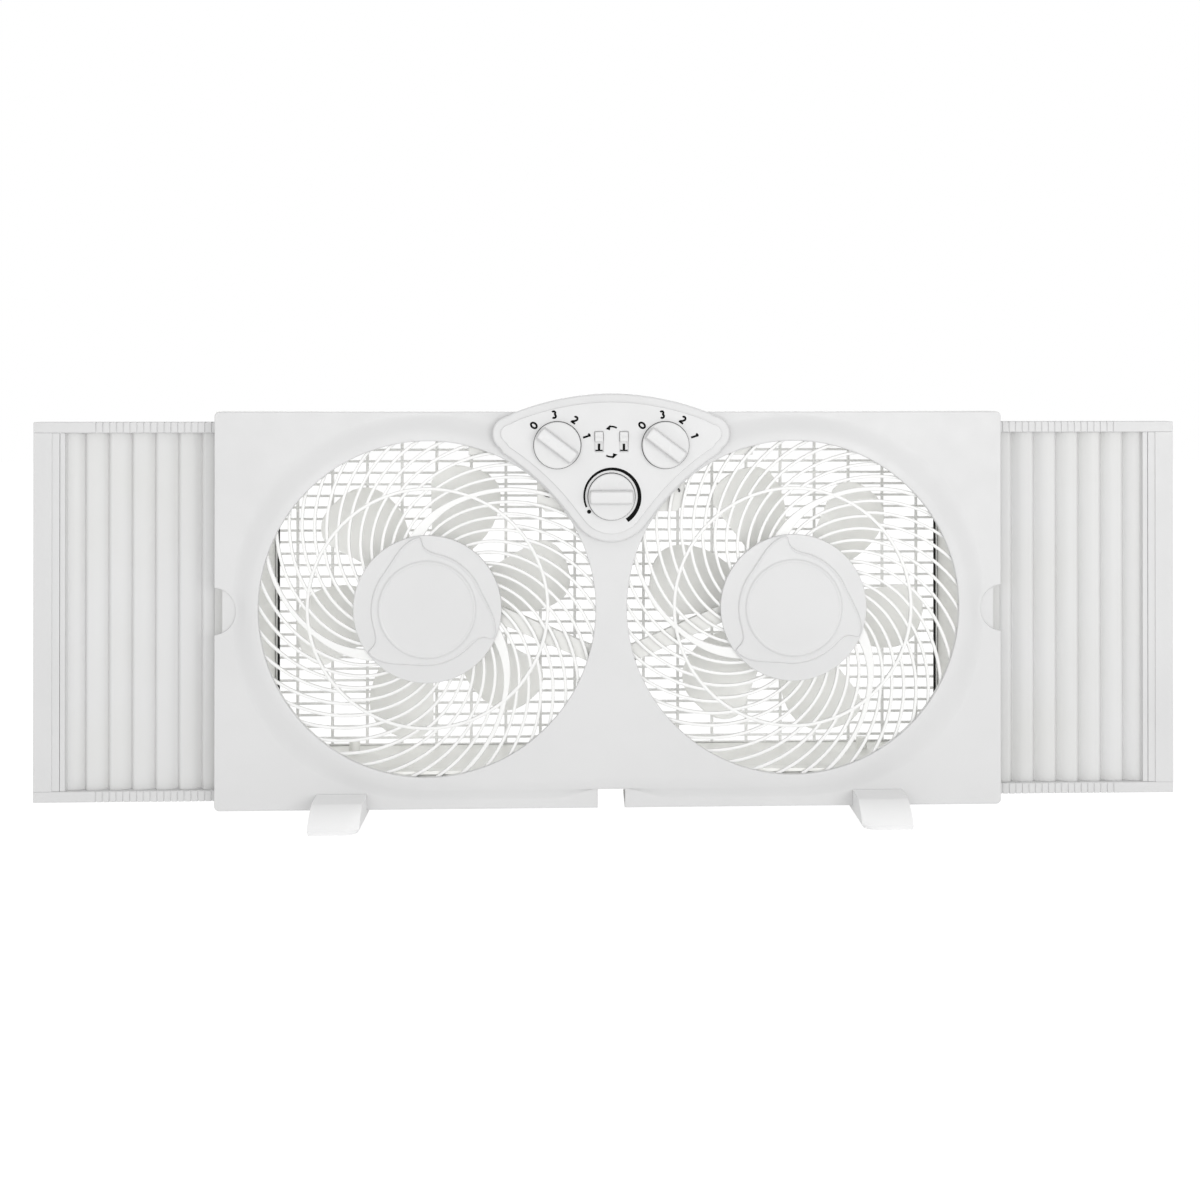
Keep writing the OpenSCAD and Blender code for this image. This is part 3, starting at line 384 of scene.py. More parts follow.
print("finishes")
skin = {
    "body": plastic("bodyPlastic", 0.645),
    "grille": plastic("grillePlastic", (0.82, 0.82, 0.81), gloss=(0.28, 0.38)),
    "panel": plastic("panelPlastic", 0.685, grain=1900, gloss=(0.42, 0.52)),
    "knob": plastic("knobPlastic", 0.66, grain=1900, gloss=(0.26, 0.36)),
    "ledge": plastic("ledgePlastic", (0.6, 0.6, 0.59)),
    # the feet are body plastic given a lighter grey than the body: painted light, so that their fronts read as brightly
    # lit
    "foot": plastic("footPlastic", 0.84),
    "rail": plastic("railPlastic", 0.635),
    # the impellers, the rear grille and the rear housing are white plastic given lighter greys than the body: painted
    # light, to make up for the shade inside the chamber; the rear housing's warm tint is painted shade
    "impeller": plastic("impellerPlastic", (0.93, 0.93, 0.905), gloss=(0.3, 0.42)),
    "rear": plastic("rearGrillePlasticPaintedLight", (0.9, 0.9, 0.89), gloss=(0.4, 0.5)),
    "chamber": plastic("rearHousingPlastic", (0.94, 0.94, 0.91), gloss=(0.4, 0.5)),
    "switch": plastic("switchPlastic", (0.06, 0.062, 0.066), tone=0.8, gloss=(0.4, 0.55)),
    "capacitor": plastic("capacitorPlastic", (0.62, 0.63, 0.64), tone=0.92, gloss=(0.35, 0.5)),
    "duct": plastic("ductPlastic", (0.73, 0.73, 0.71), gloss=(0.4, 0.5)),
    "bush": plastic("bushRubber", 0.6, tone=0.9, gloss=(0.5, 0.65)),
    "lead": plastic("leadRubber", (0.035, 0.036, 0.038), tone=0.8, gloss=(0.45, 0.6)),
    "print": plastic("dialPrint", 0.006, tone=0.8, gloss=(0.5, 0.6), ior=1.12),
    "shadowGap": plastic("gapShadow", 0.012, tone=0.8, gloss=(0.7, 0.9)),
    "sheet": finish("sheetPlastic", "drawn", {"Colour": shade(0.67), "Tone": shade((0.67, 0.67, 0.66), 0.97),
                                              "Line Scale": 420}, {"IOR": 1.46}, 0.15, 0.06),
    "casting": metal("motorCasting", (0.55, 0.56, 0.57), (0.42, 0.43, 0.44), (1, 1, 1), 700, (0.38, 0.55)),
    "wire": metal("enamelledWire", (0.55, 0.22, 0.08), (0.4, 0.15, 0.06), (1, 1, 6), 500, (0.25, 0.4), 0.5),
    "bronze": metal("bearingBronze", (0.56, 0.4, 0.19), (0.42, 0.3, 0.15), (1, 8, 1), 900, (0.3, 0.45)),
    "lamination": metal("coreSteel", (0.4, 0.4, 0.41), (0.28, 0.27, 0.27), (0.02, 3, 0.02), 1600, (0.35, 0.5), 0.6),
    "shaft": metal("shaftSteel", (0.62, 0.63, 0.64), 0.5, (0.1, 6, 0.1), 1200, (0.14, 0.26)),
    "screw": metal("screwSteel", (0.5, 0.51, 0.52), 0.38, (1, 1, 1), 1500, (0.25, 0.4)),
}

# front housing; the slope runs out by slopeLow to slopeHigh, and by lockReach at the lock notch
housing = {
    "openingR": 135.3, "seatR": 142.3, "seatY": -36.05, "wellR": 144, "platformR": 145.8, "shoulder": 124,
    "slopeLow": 9, "slopeHigh": 12, "slopeWide": 5, "crown": 1.2, "crownW": 8.6, "lipEdge": 0.9,
    "plateEdge": 0.9, "cornerR": 4, "notchR": 19, "notchOut": 2, "wall": 2.5, "consoleEdge": 1.8,
    "lockW": 22, "lockTop": 23, "lockClear": 2, "lockFade": 30, "lockReach": 0.9,
    "skirtIn": 8.5, "padIn": 9, "padOut": 1.4, "padHalf": 22,
    "bossR": 4.5, "bosses": ((277.5 + at["widened"], 43.5), (277.5 + at["widened"], 303), (90, 23)),
}
ledge = {"in": 311, "out": 323.2, "front": -15.2, "back": -14.5, "half": 23}
ramp = {"half": 62, "thick": 1.6, "drop": 3.9}

controls = {
    "inset": 6.9, "edge": 0.5, "stemR": 4.5, "slotW": 7.1, "slotH": 16.6, "printY": 0.12,
    "strokeW": 1.65, "numeralR": 24.6, "numerals": (("0", 140), ("3", 96.5), ("2", 55.5), ("1", 17.5)),
    "arcIn": 21.05, "arcFrom": 203, "arcTo": -57, "arcThin": 1.45, "arcThick": 3.5,
    "dotR": 21.7, "dotAngle": 214, "dotSize": 1.65, "arrowR": 8, "arrowW": 1.4, "arrowZ": 4.2,
    "plateW": 9.8, "plateLow": 19.1, "plateHigh": 10.4,
}

# left half of the console's outline about the fan axes' height, from its lowest point up to its top
consoleHalf = (arcThrough((0, 54), (-15.7, 57.8), (-29, 70), 10)
               + arcThrough((-31.6, 73), (-54.7, 99.9), (-87.1, 125.7), 12)
               + arcThrough((-89.5, 129.5), (-95.5, 139), (-84, 155.5), 12)
               + arcThrough((-78, 158.6), (-41, 169.5), (0, 173.8), 12))


def consoleOutline(d=0):
    points = consoleHalf + [(-x, z) for x, z in reversed(consoleHalf[1:-1])]
    return [(x, z + at["fanZ"]) for x, z in inset(points, d)]


# the console's outline moved in by d, kept out of the grilles' circles and below a height
def besideGrilles(d, clear, top):
    points = []
    for x, z in consoleOutline(d):
        z = min(z, top)
        fx, fz = fans[0 if x < 0 else 1]
        r = math.hypot(x - fx, z - fz)
        if r < clear:
            x, z = fx + (x - fx) * clear / r, fz + (z - fz) * clear / r
        if not points or math.hypot(x - points[-1][0], z - points[-1][1]) > 0.6:
            points.append((x, z))
    return points


# the space between the two grilles, open to the switches behind the console
def consoleWell():
    return besideGrilles(housing["wall"], housing["wellR"], at["plateHigh"] - housing["wall"] - 0.5)


# the well's edge below a height, from its left side round its lowest point to its right side
def wellBrim(top):
    points = consoleWell()
    above = [i for i, p in enumerate(points) if p[1] >= top]
    return points[:above[0]][::-1] + points[above[-1] + 1:][::-1]


# holes for the stems and slots for the buttons, wider where the buttons' plates slide behind the panel
def stemHoles(behind=False):
    c, z = controls, at["buttonZ"]
    stems = ((-at["knobX"], at["knobZ"]), (at["knobX"], at["knobZ"]), (0, at["dialZ"]))
    half = (c["plateW"] if behind else c["slotW"]) / 2
    low, high = (c["plateLow"], c["plateHigh"]) if behind else (c["slotH"] / 2, c["slotH"] / 2)
    return ([circle(stem, c["stemR"], 48) for stem in stems]
            + [roundRect(x - half, x + half, z - low, z + high, 0.5, 3) for x in (-at["buttonX"], at["buttonX"])])


# half the lock notch's width and some more
def lock(more):
    return housing["lockW"] / 2 + more


def plateOutline():
    h, half = housing, lock(0)
    x1, z0, z1, r = at["halfPlate"], at["plateLow"], at["plateHigh"], h["cornerR"]
    swing = math.degrees(math.acos(h["notchOut"] / h["notchR"]))
    return (arc((-x1 + r, z1 - r), r, 180, 90, 6) + arc((x1 - r, z1 - r), r, 90, 0, 6)
            + arc((x1 + h["notchOut"], middleZ), h["notchR"], 180 - swing, 180 + swing, 32)
            + arc((x1 - r, z0 + r), r, 0, -90, 6)
            + [(half, z0), (half, h["lockTop"]), (-half, h["lockTop"]), (-half, z0)]
            + arc((-x1 + r, z0 + r), r, -90, -180, 6)
            + arc((-x1 - h["notchOut"], middleZ), h["notchR"], -swing, swing, 32))


# how far the platform's slope runs out at a point of its outline, kept off the notches
def platformReach(outline, i):
    h, (x, z) = housing, outline[i]
    (ax, az), (bx, bz) = outline[i - 1], outline[(i + 1) % len(outline)]
    length = math.hypot(bx - ax, bz - az)
    nx, nz = (bz - az) / length, -(bx - ax) / length
    if nx * (x - fans[0 if x < 0 else 1][0]) + nz * (z - at["fanZ"]) < 0:
        nz = -nz
    clear, fade, least = lock(h["lockClear"]), lock(h["lockFade"]), h["lockReach"]
    if abs(x) < clear and z < at["fanZ"]:
        return least
    reach = h["slopeLow"] + (h["slopeHigh"] - h["slopeLow"]) * (nx * nx + max(0, nz) ** 2)
    reach += h["slopeWide"] * 4 * nx * nx * nz * nz
    if abs(x) < fade and z < at["fanZ"]:
        reach = least + (reach - least) * (abs(x) - clear) / (fade - clear)
    rise = abs(z - middleZ)
    if rise < h["notchR"] and abs(x) > at["fanX"]:
        notch = at["halfPlate"] + h["notchOut"] - math.sqrt(h["notchR"] ** 2 - rise * rise)
        reach = min(reach, notch - abs(x) - 0.4)
    return reach


# raised platform round both openings, with a soft crown and a long slope down to the plate
def platform():
    h, y0, face = housing, at["platformFront"], at["face"]
    lift = math.degrees(math.asin(h["shoulder"] / h["platformR"]))
    left, right = arc(fans[0], h["platformR"], 270, lift, 110), arc(fans[1], h["platformR"], 180 - lift, -90, 110)
    brim = wellBrim(at["fanZ"] + h["shoulder"] - 1.6)
    clear, fade = lock(h["lockClear"]), lock(h["lockFade"])
    between = (clear + fade) / 2
    outline = left + brim + right + [(x, at["fanZ"] - h["platformR"])
                                     for x in (fade, between, clear, -clear, -between, -fade)]
    # the brim stays where it is, because the console covers it
    free = [0 if len(left) <= i < len(left) + len(brim) else 1 for i in range(len(outline))]
    reach = [f * platformReach(outline, i) for i, f in enumerate(free)]
    crown, wide, drop = h["crown"], h["crownW"], face + 0.04 - y0 - h["crown"]
    rim = [([wide * (1 - u) * f for f in free], y0 + crown * u * u) for u in (0, 0.2, 0.4, 0.6, 0.8)]
    for t in [0.09 * k for k in range(11)] + [1]:
        start = 2 * crown / wide * h["slopeHigh"] * (t ** 3 - 2 * t * t + t)
        rim.append(([-w * t for w in reach], y0 + crown + start + drop * t * t * (3 - 2 * t)))
    rim.append((0.5, face + 0.1))
    inward = h["seatR"] - h["openingR"] - 0.05
    seat = edgeProfile(y0, h["seatY"], h["lipEdge"], 0.2) + [(inward, h["seatY"]), (inward, face + 0.1)]
    return plate([outline] + [circle(f, h["openingR"], 144) for f in fans], y0, face, profiles=[rim, seat])


# console: a shell with a rounded rim, a web that joins it to the plate and a hood where it rises above it
def console():
    h, wall, top = housing, housing["wall"], at["plateHigh"] - housing["wall"]
    front, behind, roof = at["consoleFront"], at["consoleBack"], at["consoleFront"] + wall
    web, webBack, hoodBack = behind - 1, at["face"] + 0.2, at["split"] - 0.3
    shell = (edgeProfile(front, behind, h["consoleEdge"], 0.3, steps=6)
             + [(wall - 0.3, behind), (wall, behind - 0.3), (wall, roof)])
    webOutline = besideGrilles(0.05, h["wellR"] - 0.8, at["plateHigh"] + 90)
    over = [p for p in consoleOutline(0.04) if p[1] > top]
    over = [(over[0][0], top), *over, (over[-1][0], top)]
    return [plate([consoleOutline()] + stemHoles(True), front, roof, profiles=[shell, straight(front, roof)]),
            plate([webOutline, consoleWell()], web, webBack, profiles=[straight(web, webBack)]),
            plate([over], web, hoodBack, profiles=[edgeProfile(web, hoodBack, 0.05, 1.2)])]


# skirt behind the plate, cut away at the lock notch, with a pad behind each finger notch and the screw bosses
def skirt():
    h, x1, z0, z1, wall = housing, at["halfPlate"], at["plateLow"], at["plateHigh"], housing["wall"]
    y0, back, half = at["plateBack"] - 0.6, at["skirtBack"], lock(0)
    shapes = [block(a, b, y0, at["split"], z, z + wall, 0.4) for a, b, z in (
        (4 - x1, x1 - 4, z1 - wall), (4 - x1, -half, z0), (half, x1 - 4, z0))]
    for s in (-1, 1):
        x = s * (x1 - h["skirtIn"])
        a, b = sorted((s * (x1 - h["skirtIn"] - h["padIn"]), s * (x1 - h["skirtIn"] + wall / 2 + h["padOut"])))
        shapes.append(block(x - wall / 2, x + wall / 2, y0, back, z0 + wall + 0.3, z1 - wall - 0.3, 0.4))
        shapes.append(block(a, b, y0 - 0.4, back + 0.3, middleZ - h["padHalf"], middleZ + h["padHalf"], 0.5))
        shapes += [lathe(roundedDisc(h["bossR"], y0, at["trackY"], 0.3), s * px, pz, 32) for px, pz in h["bosses"]]
    return shapes


def frontHousing():
    h, face, back = housing, at["face"], at["plateBack"]
    outlines = [plateOutline()] + [circle(f, h["seatR"], 144) for f in fans] + [consoleWell()]
    flat = plate(outlines, face, back, profiles=[edgeProfile(face, back, h["plateEdge"]), straight(face, back)])
    make("frontHousing", [flat, platform(), *console(), *skirt()], "body",
         replaced=("front_housing",))


# the ledge that shows through each finger notch
def notchLedge(name, s):
    p = ledge
    a, b = sorted((s * p["in"], s * p["out"]))
    shape = block(a, b, p["front"], p["back"], middleZ - p["half"], middleZ + p["half"], 0.2)
    make(name + "NotchLedge", [shape], "ledge")


# a ramp behind each opening's lowest part, from the grille's rim to the chamber's floor
def floorRamp(name, s):
    p, x = ramp, s * at["fanX"]
    low, high = (at["plateBack"] + 0.1, at["floorZ"] - p["drop"]), (at["split"] + 0.4, at["floorZ"] + 0.05)
    section = [low, high, (high[0], high[1] - p["thick"]), (low[0], low[1] - p["thick"])]
    verts = [(end, y, z) for end in (x - p["half"], x + p["half"]) for y, z in section]
    make(name + "FloorRamp", [(verts, quads(2, 4) + endFaces(2, 4))], "duct")


print("front housing")
frontHousing()
for name, s in sides:
    notchLedge(name, s)
for name, s in sides:
    floorRamp(name, s)

# front grilles; the twists are in degrees for each mm of radius, and ribs start some way under the cap
grille = {
    "rim": 138.95, "rimW": 6.6, "ringR": 96.7, "ringW": 2.8, "ribW": 2.55, "ribEnd": 136.5, "ribUnder": 8,
    "armRoot": 9.5, "armRing": 4.2, "armRim": 3, "armUnder": 12, "armAngle": 98.4, "plateR": 52.5,
    "innerRibs": 36, "outerRibs": 42, "innerTwist": 0.78, "outerTwist": 0.703,
    "capR": 59.5, "capFront": -36, "front": -35.9, "back": -32,
}


def onRib(r, a):
    g = grille
    twist = g["innerTwist"] * (g["ringR"] - r) if r < g["ringR"] else -g["outerTwist"] * (r - g["ringR"])
    return polar(r, a + twist)


def armWidth(r):
    g = grille
    if r < g["ringR"]:
        share = max(0, (g["ringR"] - r) / (g["ringR"] - g["capR"]))
        return g["armRing"] + (g["armRoot"] - g["armRing"]) * share ** 1.3
    return g["armRing"] + (g["armRim"] - g["armRing"]) * (r - g["ringR"]) / 40


def frontGrille(name, centre):
    g, shapes = grille, []
    start = g["armAngle"] - g["innerTwist"] * (g["ringR"] - g["capR"])
    front, back, root = g["front"], g["back"], g["capR"] - g["armUnder"]
    for count, r0, r1 in ((g["innerRibs"], g["capR"] - g["ribUnder"], g["ringR"]),
                          (g["outerRibs"], g["ringR"], g["ribEnd"])):
        for i in range(count):
            if i % (count // 3):    # the three arms take the other places
                path = [onRib(r0 + (r1 - r0) * k / 14, start + i * 360 / count) for k in range(15)]
                shapes.append(strip(path, g["ribW"], front + 0.5, back - 0.5, 0.7))
    radii = [root + (g["ribEnd"] - root) * k / 28 for k in range(29)]
    for i in range(3):
        path = [onRib(r, start + i * 120) for r in radii]
        shapes.append(strip(path, [armWidth(r) for r in radii], front + 0.2, back - 0.3, 0.9, steps=3))
    shapes.append(strip(circle((0, 0), g["ringR"], 144), g["ringW"], front, back, 0.9, closed=True, steps=3))
    shapes.append(strip(circle((0, 0), g["rim"], 144), g["rimW"], front + 0.1, back, 0.8, closed=True))
    shapes.append(lathe(roundedDisc(g["plateR"], front + 0.3, back, 0.3, 10), 0, 0, 72, closed=True))
    shift = Matrix.Translation((centre[0], 0, centre[1]))
    make(name + "FrontGrille", [moved(s, shift) for s in shapes], "grille",
         replaced=(name + "_front_grille",))


# the cap: how far each ring lies in from the edge or the swirl, or the disc's radii, and their heights
cap = {
    "edge": ((2.4, 0.4), (0, 0.4), (0, -2.6), (0.15, -3.2), (0.6, -3.6)),
    "bead": ((0, -4.0), (0.4, -4.75), (0.9, -5.25), (1.5, -5.35), (2.0, -5.1), (2.5, -4.85)),
    "disc": ((39.8, -5.05), (39.4, -5.45), (38.9, -6.05), (38.3, -6.45), (37.6, -6.5), (37.0, -6.25), (36.4, -6.0)),
    # raised swirl: angle behind the arm and distance in from the cap's edge
    "swirl": ([(1, 0.9), (-2.4, 1.1), (-3.3, 2.4), (-3.7, 4.6), (-4.3, 7.2), (-5.8, 9.6), (-8.4, 11.6), (-12, 12.9)]
              + [(-18 - 61 * i / 12, 13.9 + 0.5 * math.sin(math.pi * i / 12)) for i in range(13)]
              + [(-84, 13.2), (-89, 12.1), (-94, 10.6), (-99, 8.6), (-104, 6.3), (-109, 4.1), (-114, 2.3)]),
}


def hubCap(name, centre):
    g, outer = grille, grille["capR"]
    edge = [(g["armAngle"] - 120 * k + a, outer - d) for k in range(3) for a, d in cap["swirl"]]
    (bead, _), (disc, _), (inner, low) = cap["bead"][-1], cap["disc"][0], cap["disc"][-1]
    rings = [[(outer - d, a, h) for a, _ in edge] for d, h in cap["edge"]]
    rings.append([(min(outer - 0.7, r + 0.45), a, -3.62) for a, r in edge])
    rings += [[(r - d, a, h) for a, r in edge] for d, h in cap["bead"]]
    rings.append([(0.4 * (r - bead) + 0.6 * disc, a, -4.95) for a, r in edge])
    rings += [[(r, a, h) for a, _ in edge] for r, h in cap["disc"]]
    rings += [[(inner * (1 - k / 6), a, low - 0.3 * math.sin(math.pi / 2 * k / 6)) for a, _ in edge]
              for k in range(1, 7)]
    verts = []
    for ring in rings:
        for r, a, h in ring:
            x, z = polar(r, a, centre)
            verts.append((x, g["capFront"] + h, z))
    shape = (verts, quads(len(rings), len(edge)) + [tuple(range(len(edge)))])
    make(name + "HubCap", [shape], "body", replaced=(name + "_hub_cap",), sharp=50)


# impellers
blades = {
    "count": 6, "tipR": 116, "thick": 2.2, "edgeThin": 0.55, "axisY": 9.5, "pitch": 24, "curve": 130, "lead": 18,
    # radius, and how far the leading and the trailing edge lie behind the straight edge, in degrees
    "outline": [(30, 0, 31), (38, 0, 33.2), (48, 0, 36.4), (58, 0, 39), (68, 0, 39.6), (78, 0, 39), (87, 0, 37.4),
                (95, 0, 35.6), (101, 0.2, 33.8), (106, 1.6, 31.8), (110, 3.8, 29.6), (113, 6.2, 27), (115, 9, 24),
                (116, 12.6, 20)],
    "turned": {"left": 12.6, "right": -10.3}, "hubR": 32, "hubFront": -1.5, "hubBack": 18.5, "boreR": 3.03,
}


# a blade is a piece of a cylinder's skin that leans by the pitch
def bladeShape(turned):
    b, verts, m, n = blades, [], len(blades["outline"]), 11
    lean, curve = math.radians(b["pitch"]), b["curve"]
    for side in (-1, 1):
        for r, lead, trail in b["outline"]:
            for i in range(n):
                x, z = polar(r, b["lead"] - (lead + (trail - lead) * i / (n - 1)))
                rise = (math.sqrt((curve - b["thick"] / 2) ** 2 - (z - curve * math.sin(lean)) ** 2)
                        - curve * math.cos(lean))
                thin = b["thick"] / 2 * (b["edgeThin"] if i in (0, n - 1) or r == b["tipR"] else 1)
                verts.append((x, b["axisY"] - rise + side * thin, z))
    faces = quads(m, n, wrap=False) + [q[::-1] for q in quads(m, n, base=m * n, wrap=False)]
    loop = ([i * n for i in range(m)] + [(m - 1) * n + j for j in range(1, n)]
            + [i * n + n - 1 for i in range(m - 2, -1, -1)] + [j for j in range(n - 2, 0, -1)])
    for i, a in enumerate(loop):
        c = loop[(i + 1) % len(loop)]
        faces.append((a, c, c + m * n, a + m * n))
    return moved((verts, faces), Matrix.Rotation(math.radians(-turned), 4, "Y"))


def impeller(name, centre):
    b = blades
    turned, r, f, k, bore = b["turned"][name], b["hubR"], b["hubFront"], b["hubBack"], b["boreR"]
    shapes = [bladeShape(turned + i * 360 / b["count"]) for i in range(b["count"])]
    cup = [(r - 2.5, f), (r - 0.6, f), (r, f + 0.6), (r, k - 3), (r - 0.9, k - 0.9), (r - 3, k), (12, k),
           (11, k - 0.5), (10, k - 0.6), (4, k - 0.6), (bore, k - 0.6), (bore, f + 4), (7, f + 4), (7, k - 2.5),
           (r - 2.5, k - 2.5)]
    shapes.append(lathe(cup, 0, 0, 96, closed=True))
    for i in range(6):
        a = i * 60 + turned
        shapes.append(strip([polar(6.5, a), polar(r - 2, a)], 1.6, f + 4.5, k - 2.2, 0.3))
    shift = Matrix.Translation((centre[0], 0, centre[1]))
    make(name + "Impeller", [moved(s, shift) for s in shapes], "impeller", name + "_rotor",
         (name + "_impeller",), sharp=50)


print("grilles, caps and impellers")
for (name, _), centre in zip(sides, fans):
    frontGrille(name, centre)
    hubCap(name, centre)
    impeller(name, centre)

# rear grille; the steps of its solid field are half widths and the heights that they reach down to
rearBars = {
    "x0": 288.7, "pitchX": 30, "posts": 9, "postW": 2.5, "pitchZ": 10, "barW": 2.1, "front": 59, "back": 62,
    "steps": ((115.8, 293.4), (60.4, 247.4), (22, 235)), "top": 326.2, "inletX": 100, "inletZ": 307, "inletR": 6.5,
}
# the gap between the grille's frame and the chamber, drawn as a near-black strip of painted shadow and a grey strip of
# painted shade, with a light bead:
# name, distance in from the wall, width, front, back and finish
cornerLines = (("Joint", 2.9, 1.9, 58.7, 59.2, "shadowGap"), ("Bead", 1.5, 0.9, 57.2, 59.3, "grille"),
               ("Shadow", 0.65, 0.9, 58.5, 59.2, "bush"))


def rearGrille():
    b = rearBars
    y0, y1, z0, z1, x0 = b["front"], b["back"], at["floorZ"] + 0.3, at["ceilingZ"] - 0.3, b["x0"]
    rim = [roundRect(-x0, x0, z0, z1, 1), roundRect(-x0 + 3.3, x0 - 3.3, z0 + 1.2, z1 - 3, 1)]
    right, z = [(b["steps"][0][0], b["top"])], b["top"]
    for x, low in b["steps"]:
        right += [(x, z), (x, low)] if z < b["top"] else [(x, low)]
        z = low
    tee = [right + [(-x, z) for x, z in reversed(right)], circle((b["inletX"], b["inletZ"]), b["inletR"], 48)]
    shapes = [plate(rim, y0, y1, 0.5), plate(tee, y0 + 0.1, y1 - 0.05, 0.5)]
    for i in range(-b["posts"], b["posts"] + 1):
        x = i * b["pitchX"]
        top = min([z1 - 1] + [low + 1 for half, low in b["steps"] if abs(x) < half])
        shapes.append(strip([(x, z0 + 1), (x, top)], b["postW"], y0 + 0.5, y1 - 0.2, 0.6))
    first = at["fanZ"] + 114.5 - b["pitchZ"] * 24
    for z in (first + i * b["pitchZ"] for i in range(27)):
        inner = max([0] + [half - 1 for half, low in b["steps"] if z > low])
        if at["floorZ"] + 4 < z < at["ceilingZ"] - 4:
            for a, c in ((1 - x0, -inner), (inner, x0 - 1)) if inner else ((1 - x0, x0 - 1),):
                shapes.append(strip([(a, z), (c, z)], b["barW"], y0 + 0.2, y1, 0.6))
    make("rearGrille", shapes, "rear", replaced=("rear_grille",))


def cornerShadeAndBead(name, s):
    # the near-black and the grey strip are painted shadow in the gap; the bead is a real raised strip
    for part, inward, width, y0, y1, look in cornerLines:
        x = s * (at["halfChamber"] - inward)
        path = [(x, at["floorZ"] + 1), (x, at["ceilingZ"] - 1)]
        make(name + "Corner" + part, [strip(path, width, y0, y1, 0.1)], look)


# moves the side walls and what is fixed to them out to the width seen in the photo
def widenChamber(bm):
    for v in bm.verts:
        if abs(v.co.x) > 0.271:
            v.co.x += math.copysign(at["widened"] * mm, v.co.x)


print("rear grille and chamber")
rearGrille()
for name, s in sides:
    cornerShadeAndBead(name, s)
# node, finish, slot and edge; a name that starts with _ is there on the left and the right
frameSolids = (
    ("rear_housing", "chamber", "body_plastic", 0.6), ("control_box", "duct", "body_plastic", 0.5),
    ("_wire_duct", "duct", "duct_plastic", 0.4), ("_motor_front_bracket", "casting", "motor_casting", 0.5),
    ("_motor_rear_bracket", "casting", "motor_casting", 0.7), ("_speed_switch", "switch", "switch_plastic", 0.3),
    ("thermostat", "switch", "switch_plastic", 0.3), ("_direction_switch", "switch", "switch_plastic", 0.3),
    ("_capacitor", "capacitor", "capacitor_plastic", 0.5), ("housing_screws", "screw", "screw_steel", 0.25),
    ("foot_screws", "screw", "screw_steel", 0.25), ("inlet_bush", "bush", "bush_rubber", 0.4))
for node, look, slot, edge in frameSolids:
    for name in ("left", "right") if node.startswith("_") else ("",):
        reshape = widenChamber if node in ("rear_housing", "housing_screws") else None
        softened(name + node, look, edge, reshape=reshape)
for name, _ in sides:
    softened(name + "_impeller_nut", "knob", 0.3, name + "_rotor")

# ends of the switch wires that show beside the console: path and width
wires = (([(-54.6, 261.6), (-52.6, 260.4), (-50.6, 259.9), (-48.4, 260.4), (-47.2, 260.9)], 1.3),
         ([(54.6, 266.3), (55.6, 264.9), (55.3, 263.4)], 1.5))
make("wireEnds", [strip(path, width, -32.9, -31.7, 0.3) for path, width in wires], "lead")

# solids whose frame shape is right keep it and take a finish
for node, look in (("motor_core", "lamination"), ("motor_winding", "wire"), ("motor_bearings", "bronze"),
                   ("motor_leads", "lead"), ("motor_shaft", "shaft"), ("rotor_core", "lamination")):
    for name, _ in sides:
        for holder in nodes[name + "_" + node].material_slots:
            holder.material = skin[look]

# the strokes of each figure about its middle, in mm: path, width and whether it closes
bold, thin = controls["strokeW"], controls["strokeW"] - 0.15
figures = {
    "0": [([(1.85 * math.cos(math.radians(a)), 2.6 * math.sin(math.radians(a))) for a in range(0, 360, 10)],
           bold, True)],
    "1": [([(0.5, -3.15), (0.5, 3.15)], bold, False), ([(-1.35, 1.75), (0.5, 2.75)], thin, False)],
    "2": [(arc((0, 1.15), 1.5, 160, -30, 12) + [(0.55, -0.75), (-0.55, -1.6), (-1.3, -2.25)], bold, False),
          ([(-2.0, -2.6), (2.0, -2.6)], thin, False)],
    "3": [(arc((0, 1.42), 1.25, 150, -85, 12), bold, False), (arc((0, -1.25), 1.42, 85, -150, 14), bold, False)],
}


def controlPanel():
    outlines = [consoleOutline(controls["inset"])] + stemHoles()
    shape = plate(outlines, at["panelFront"], at["consoleFront"] + 0.02, controls["edge"])
    make("controlPanel", [shape], "panel", replaced=("control_panel",))


def numeral(figure, x, z, turn, y0, y1):
    c, s = math.cos(math.radians(turn)), math.sin(math.radians(turn))
    return [strip([(x + u * c - v * s, z + u * s + v * c) for u, v in path], width, y0, y1, 0.04, closed=closed)
            for path, width, closed in figures[figure]]


def panelPrint():
    c, y0, y1 = controls, at["panelFront"] - controls["printY"], at["panelFront"] + 0.1
    for name, s in sides:
        shapes = []
        for text, a in c["numerals"]:
            x, z = polar(c["numeralR"], a, (s * at["knobX"], at["knobZ"]))
            shapes += numeral(text, x, z, a - 90, y0, y1)
        make(name + "Numerals", shapes, "print")
    dial, steps, sweep, grow = (0, at["dialZ"]), 60, c["arcTo"] - c["arcFrom"], c["arcThick"] - c["arcThin"]
    widths = [c["arcThin"] + grow * (i / steps) ** 1.15 for i in range(steps + 1)]
    path = [polar(c["arcIn"] + w / 2, c["arcFrom"] + sweep * i / steps, dial) for i, w in enumerate(widths)]
    x, z = polar(c["dotR"], c["dotAngle"], dial)
    dot = [(0, y0), (c["dotSize"], y0), (c["dotSize"], y1), (0, y1)]
    shapes = [strip(path, widths, y0, y1, 0.05), lathe(dot, x, z, 32)]
    # two small arrows, turning left above the buttons and right below them
    for s in (1, -1):
        place = lambda points: [(s * u, at["buttonZ"] + s * c["arrowZ"] + s * v) for u, v in points]
        shapes.append(strip(place(arc((0, 0), c["arrowR"], 58, 104, 10)), c["arrowW"], y0, y1, 0.05))
        shapes.append(plate([place(((-4.8, 6.0), (-0.9, 9.4), (-1.2, 5.0)))], y0, y1, 0.02, 1))
    make("dialMarks", shapes, "print")


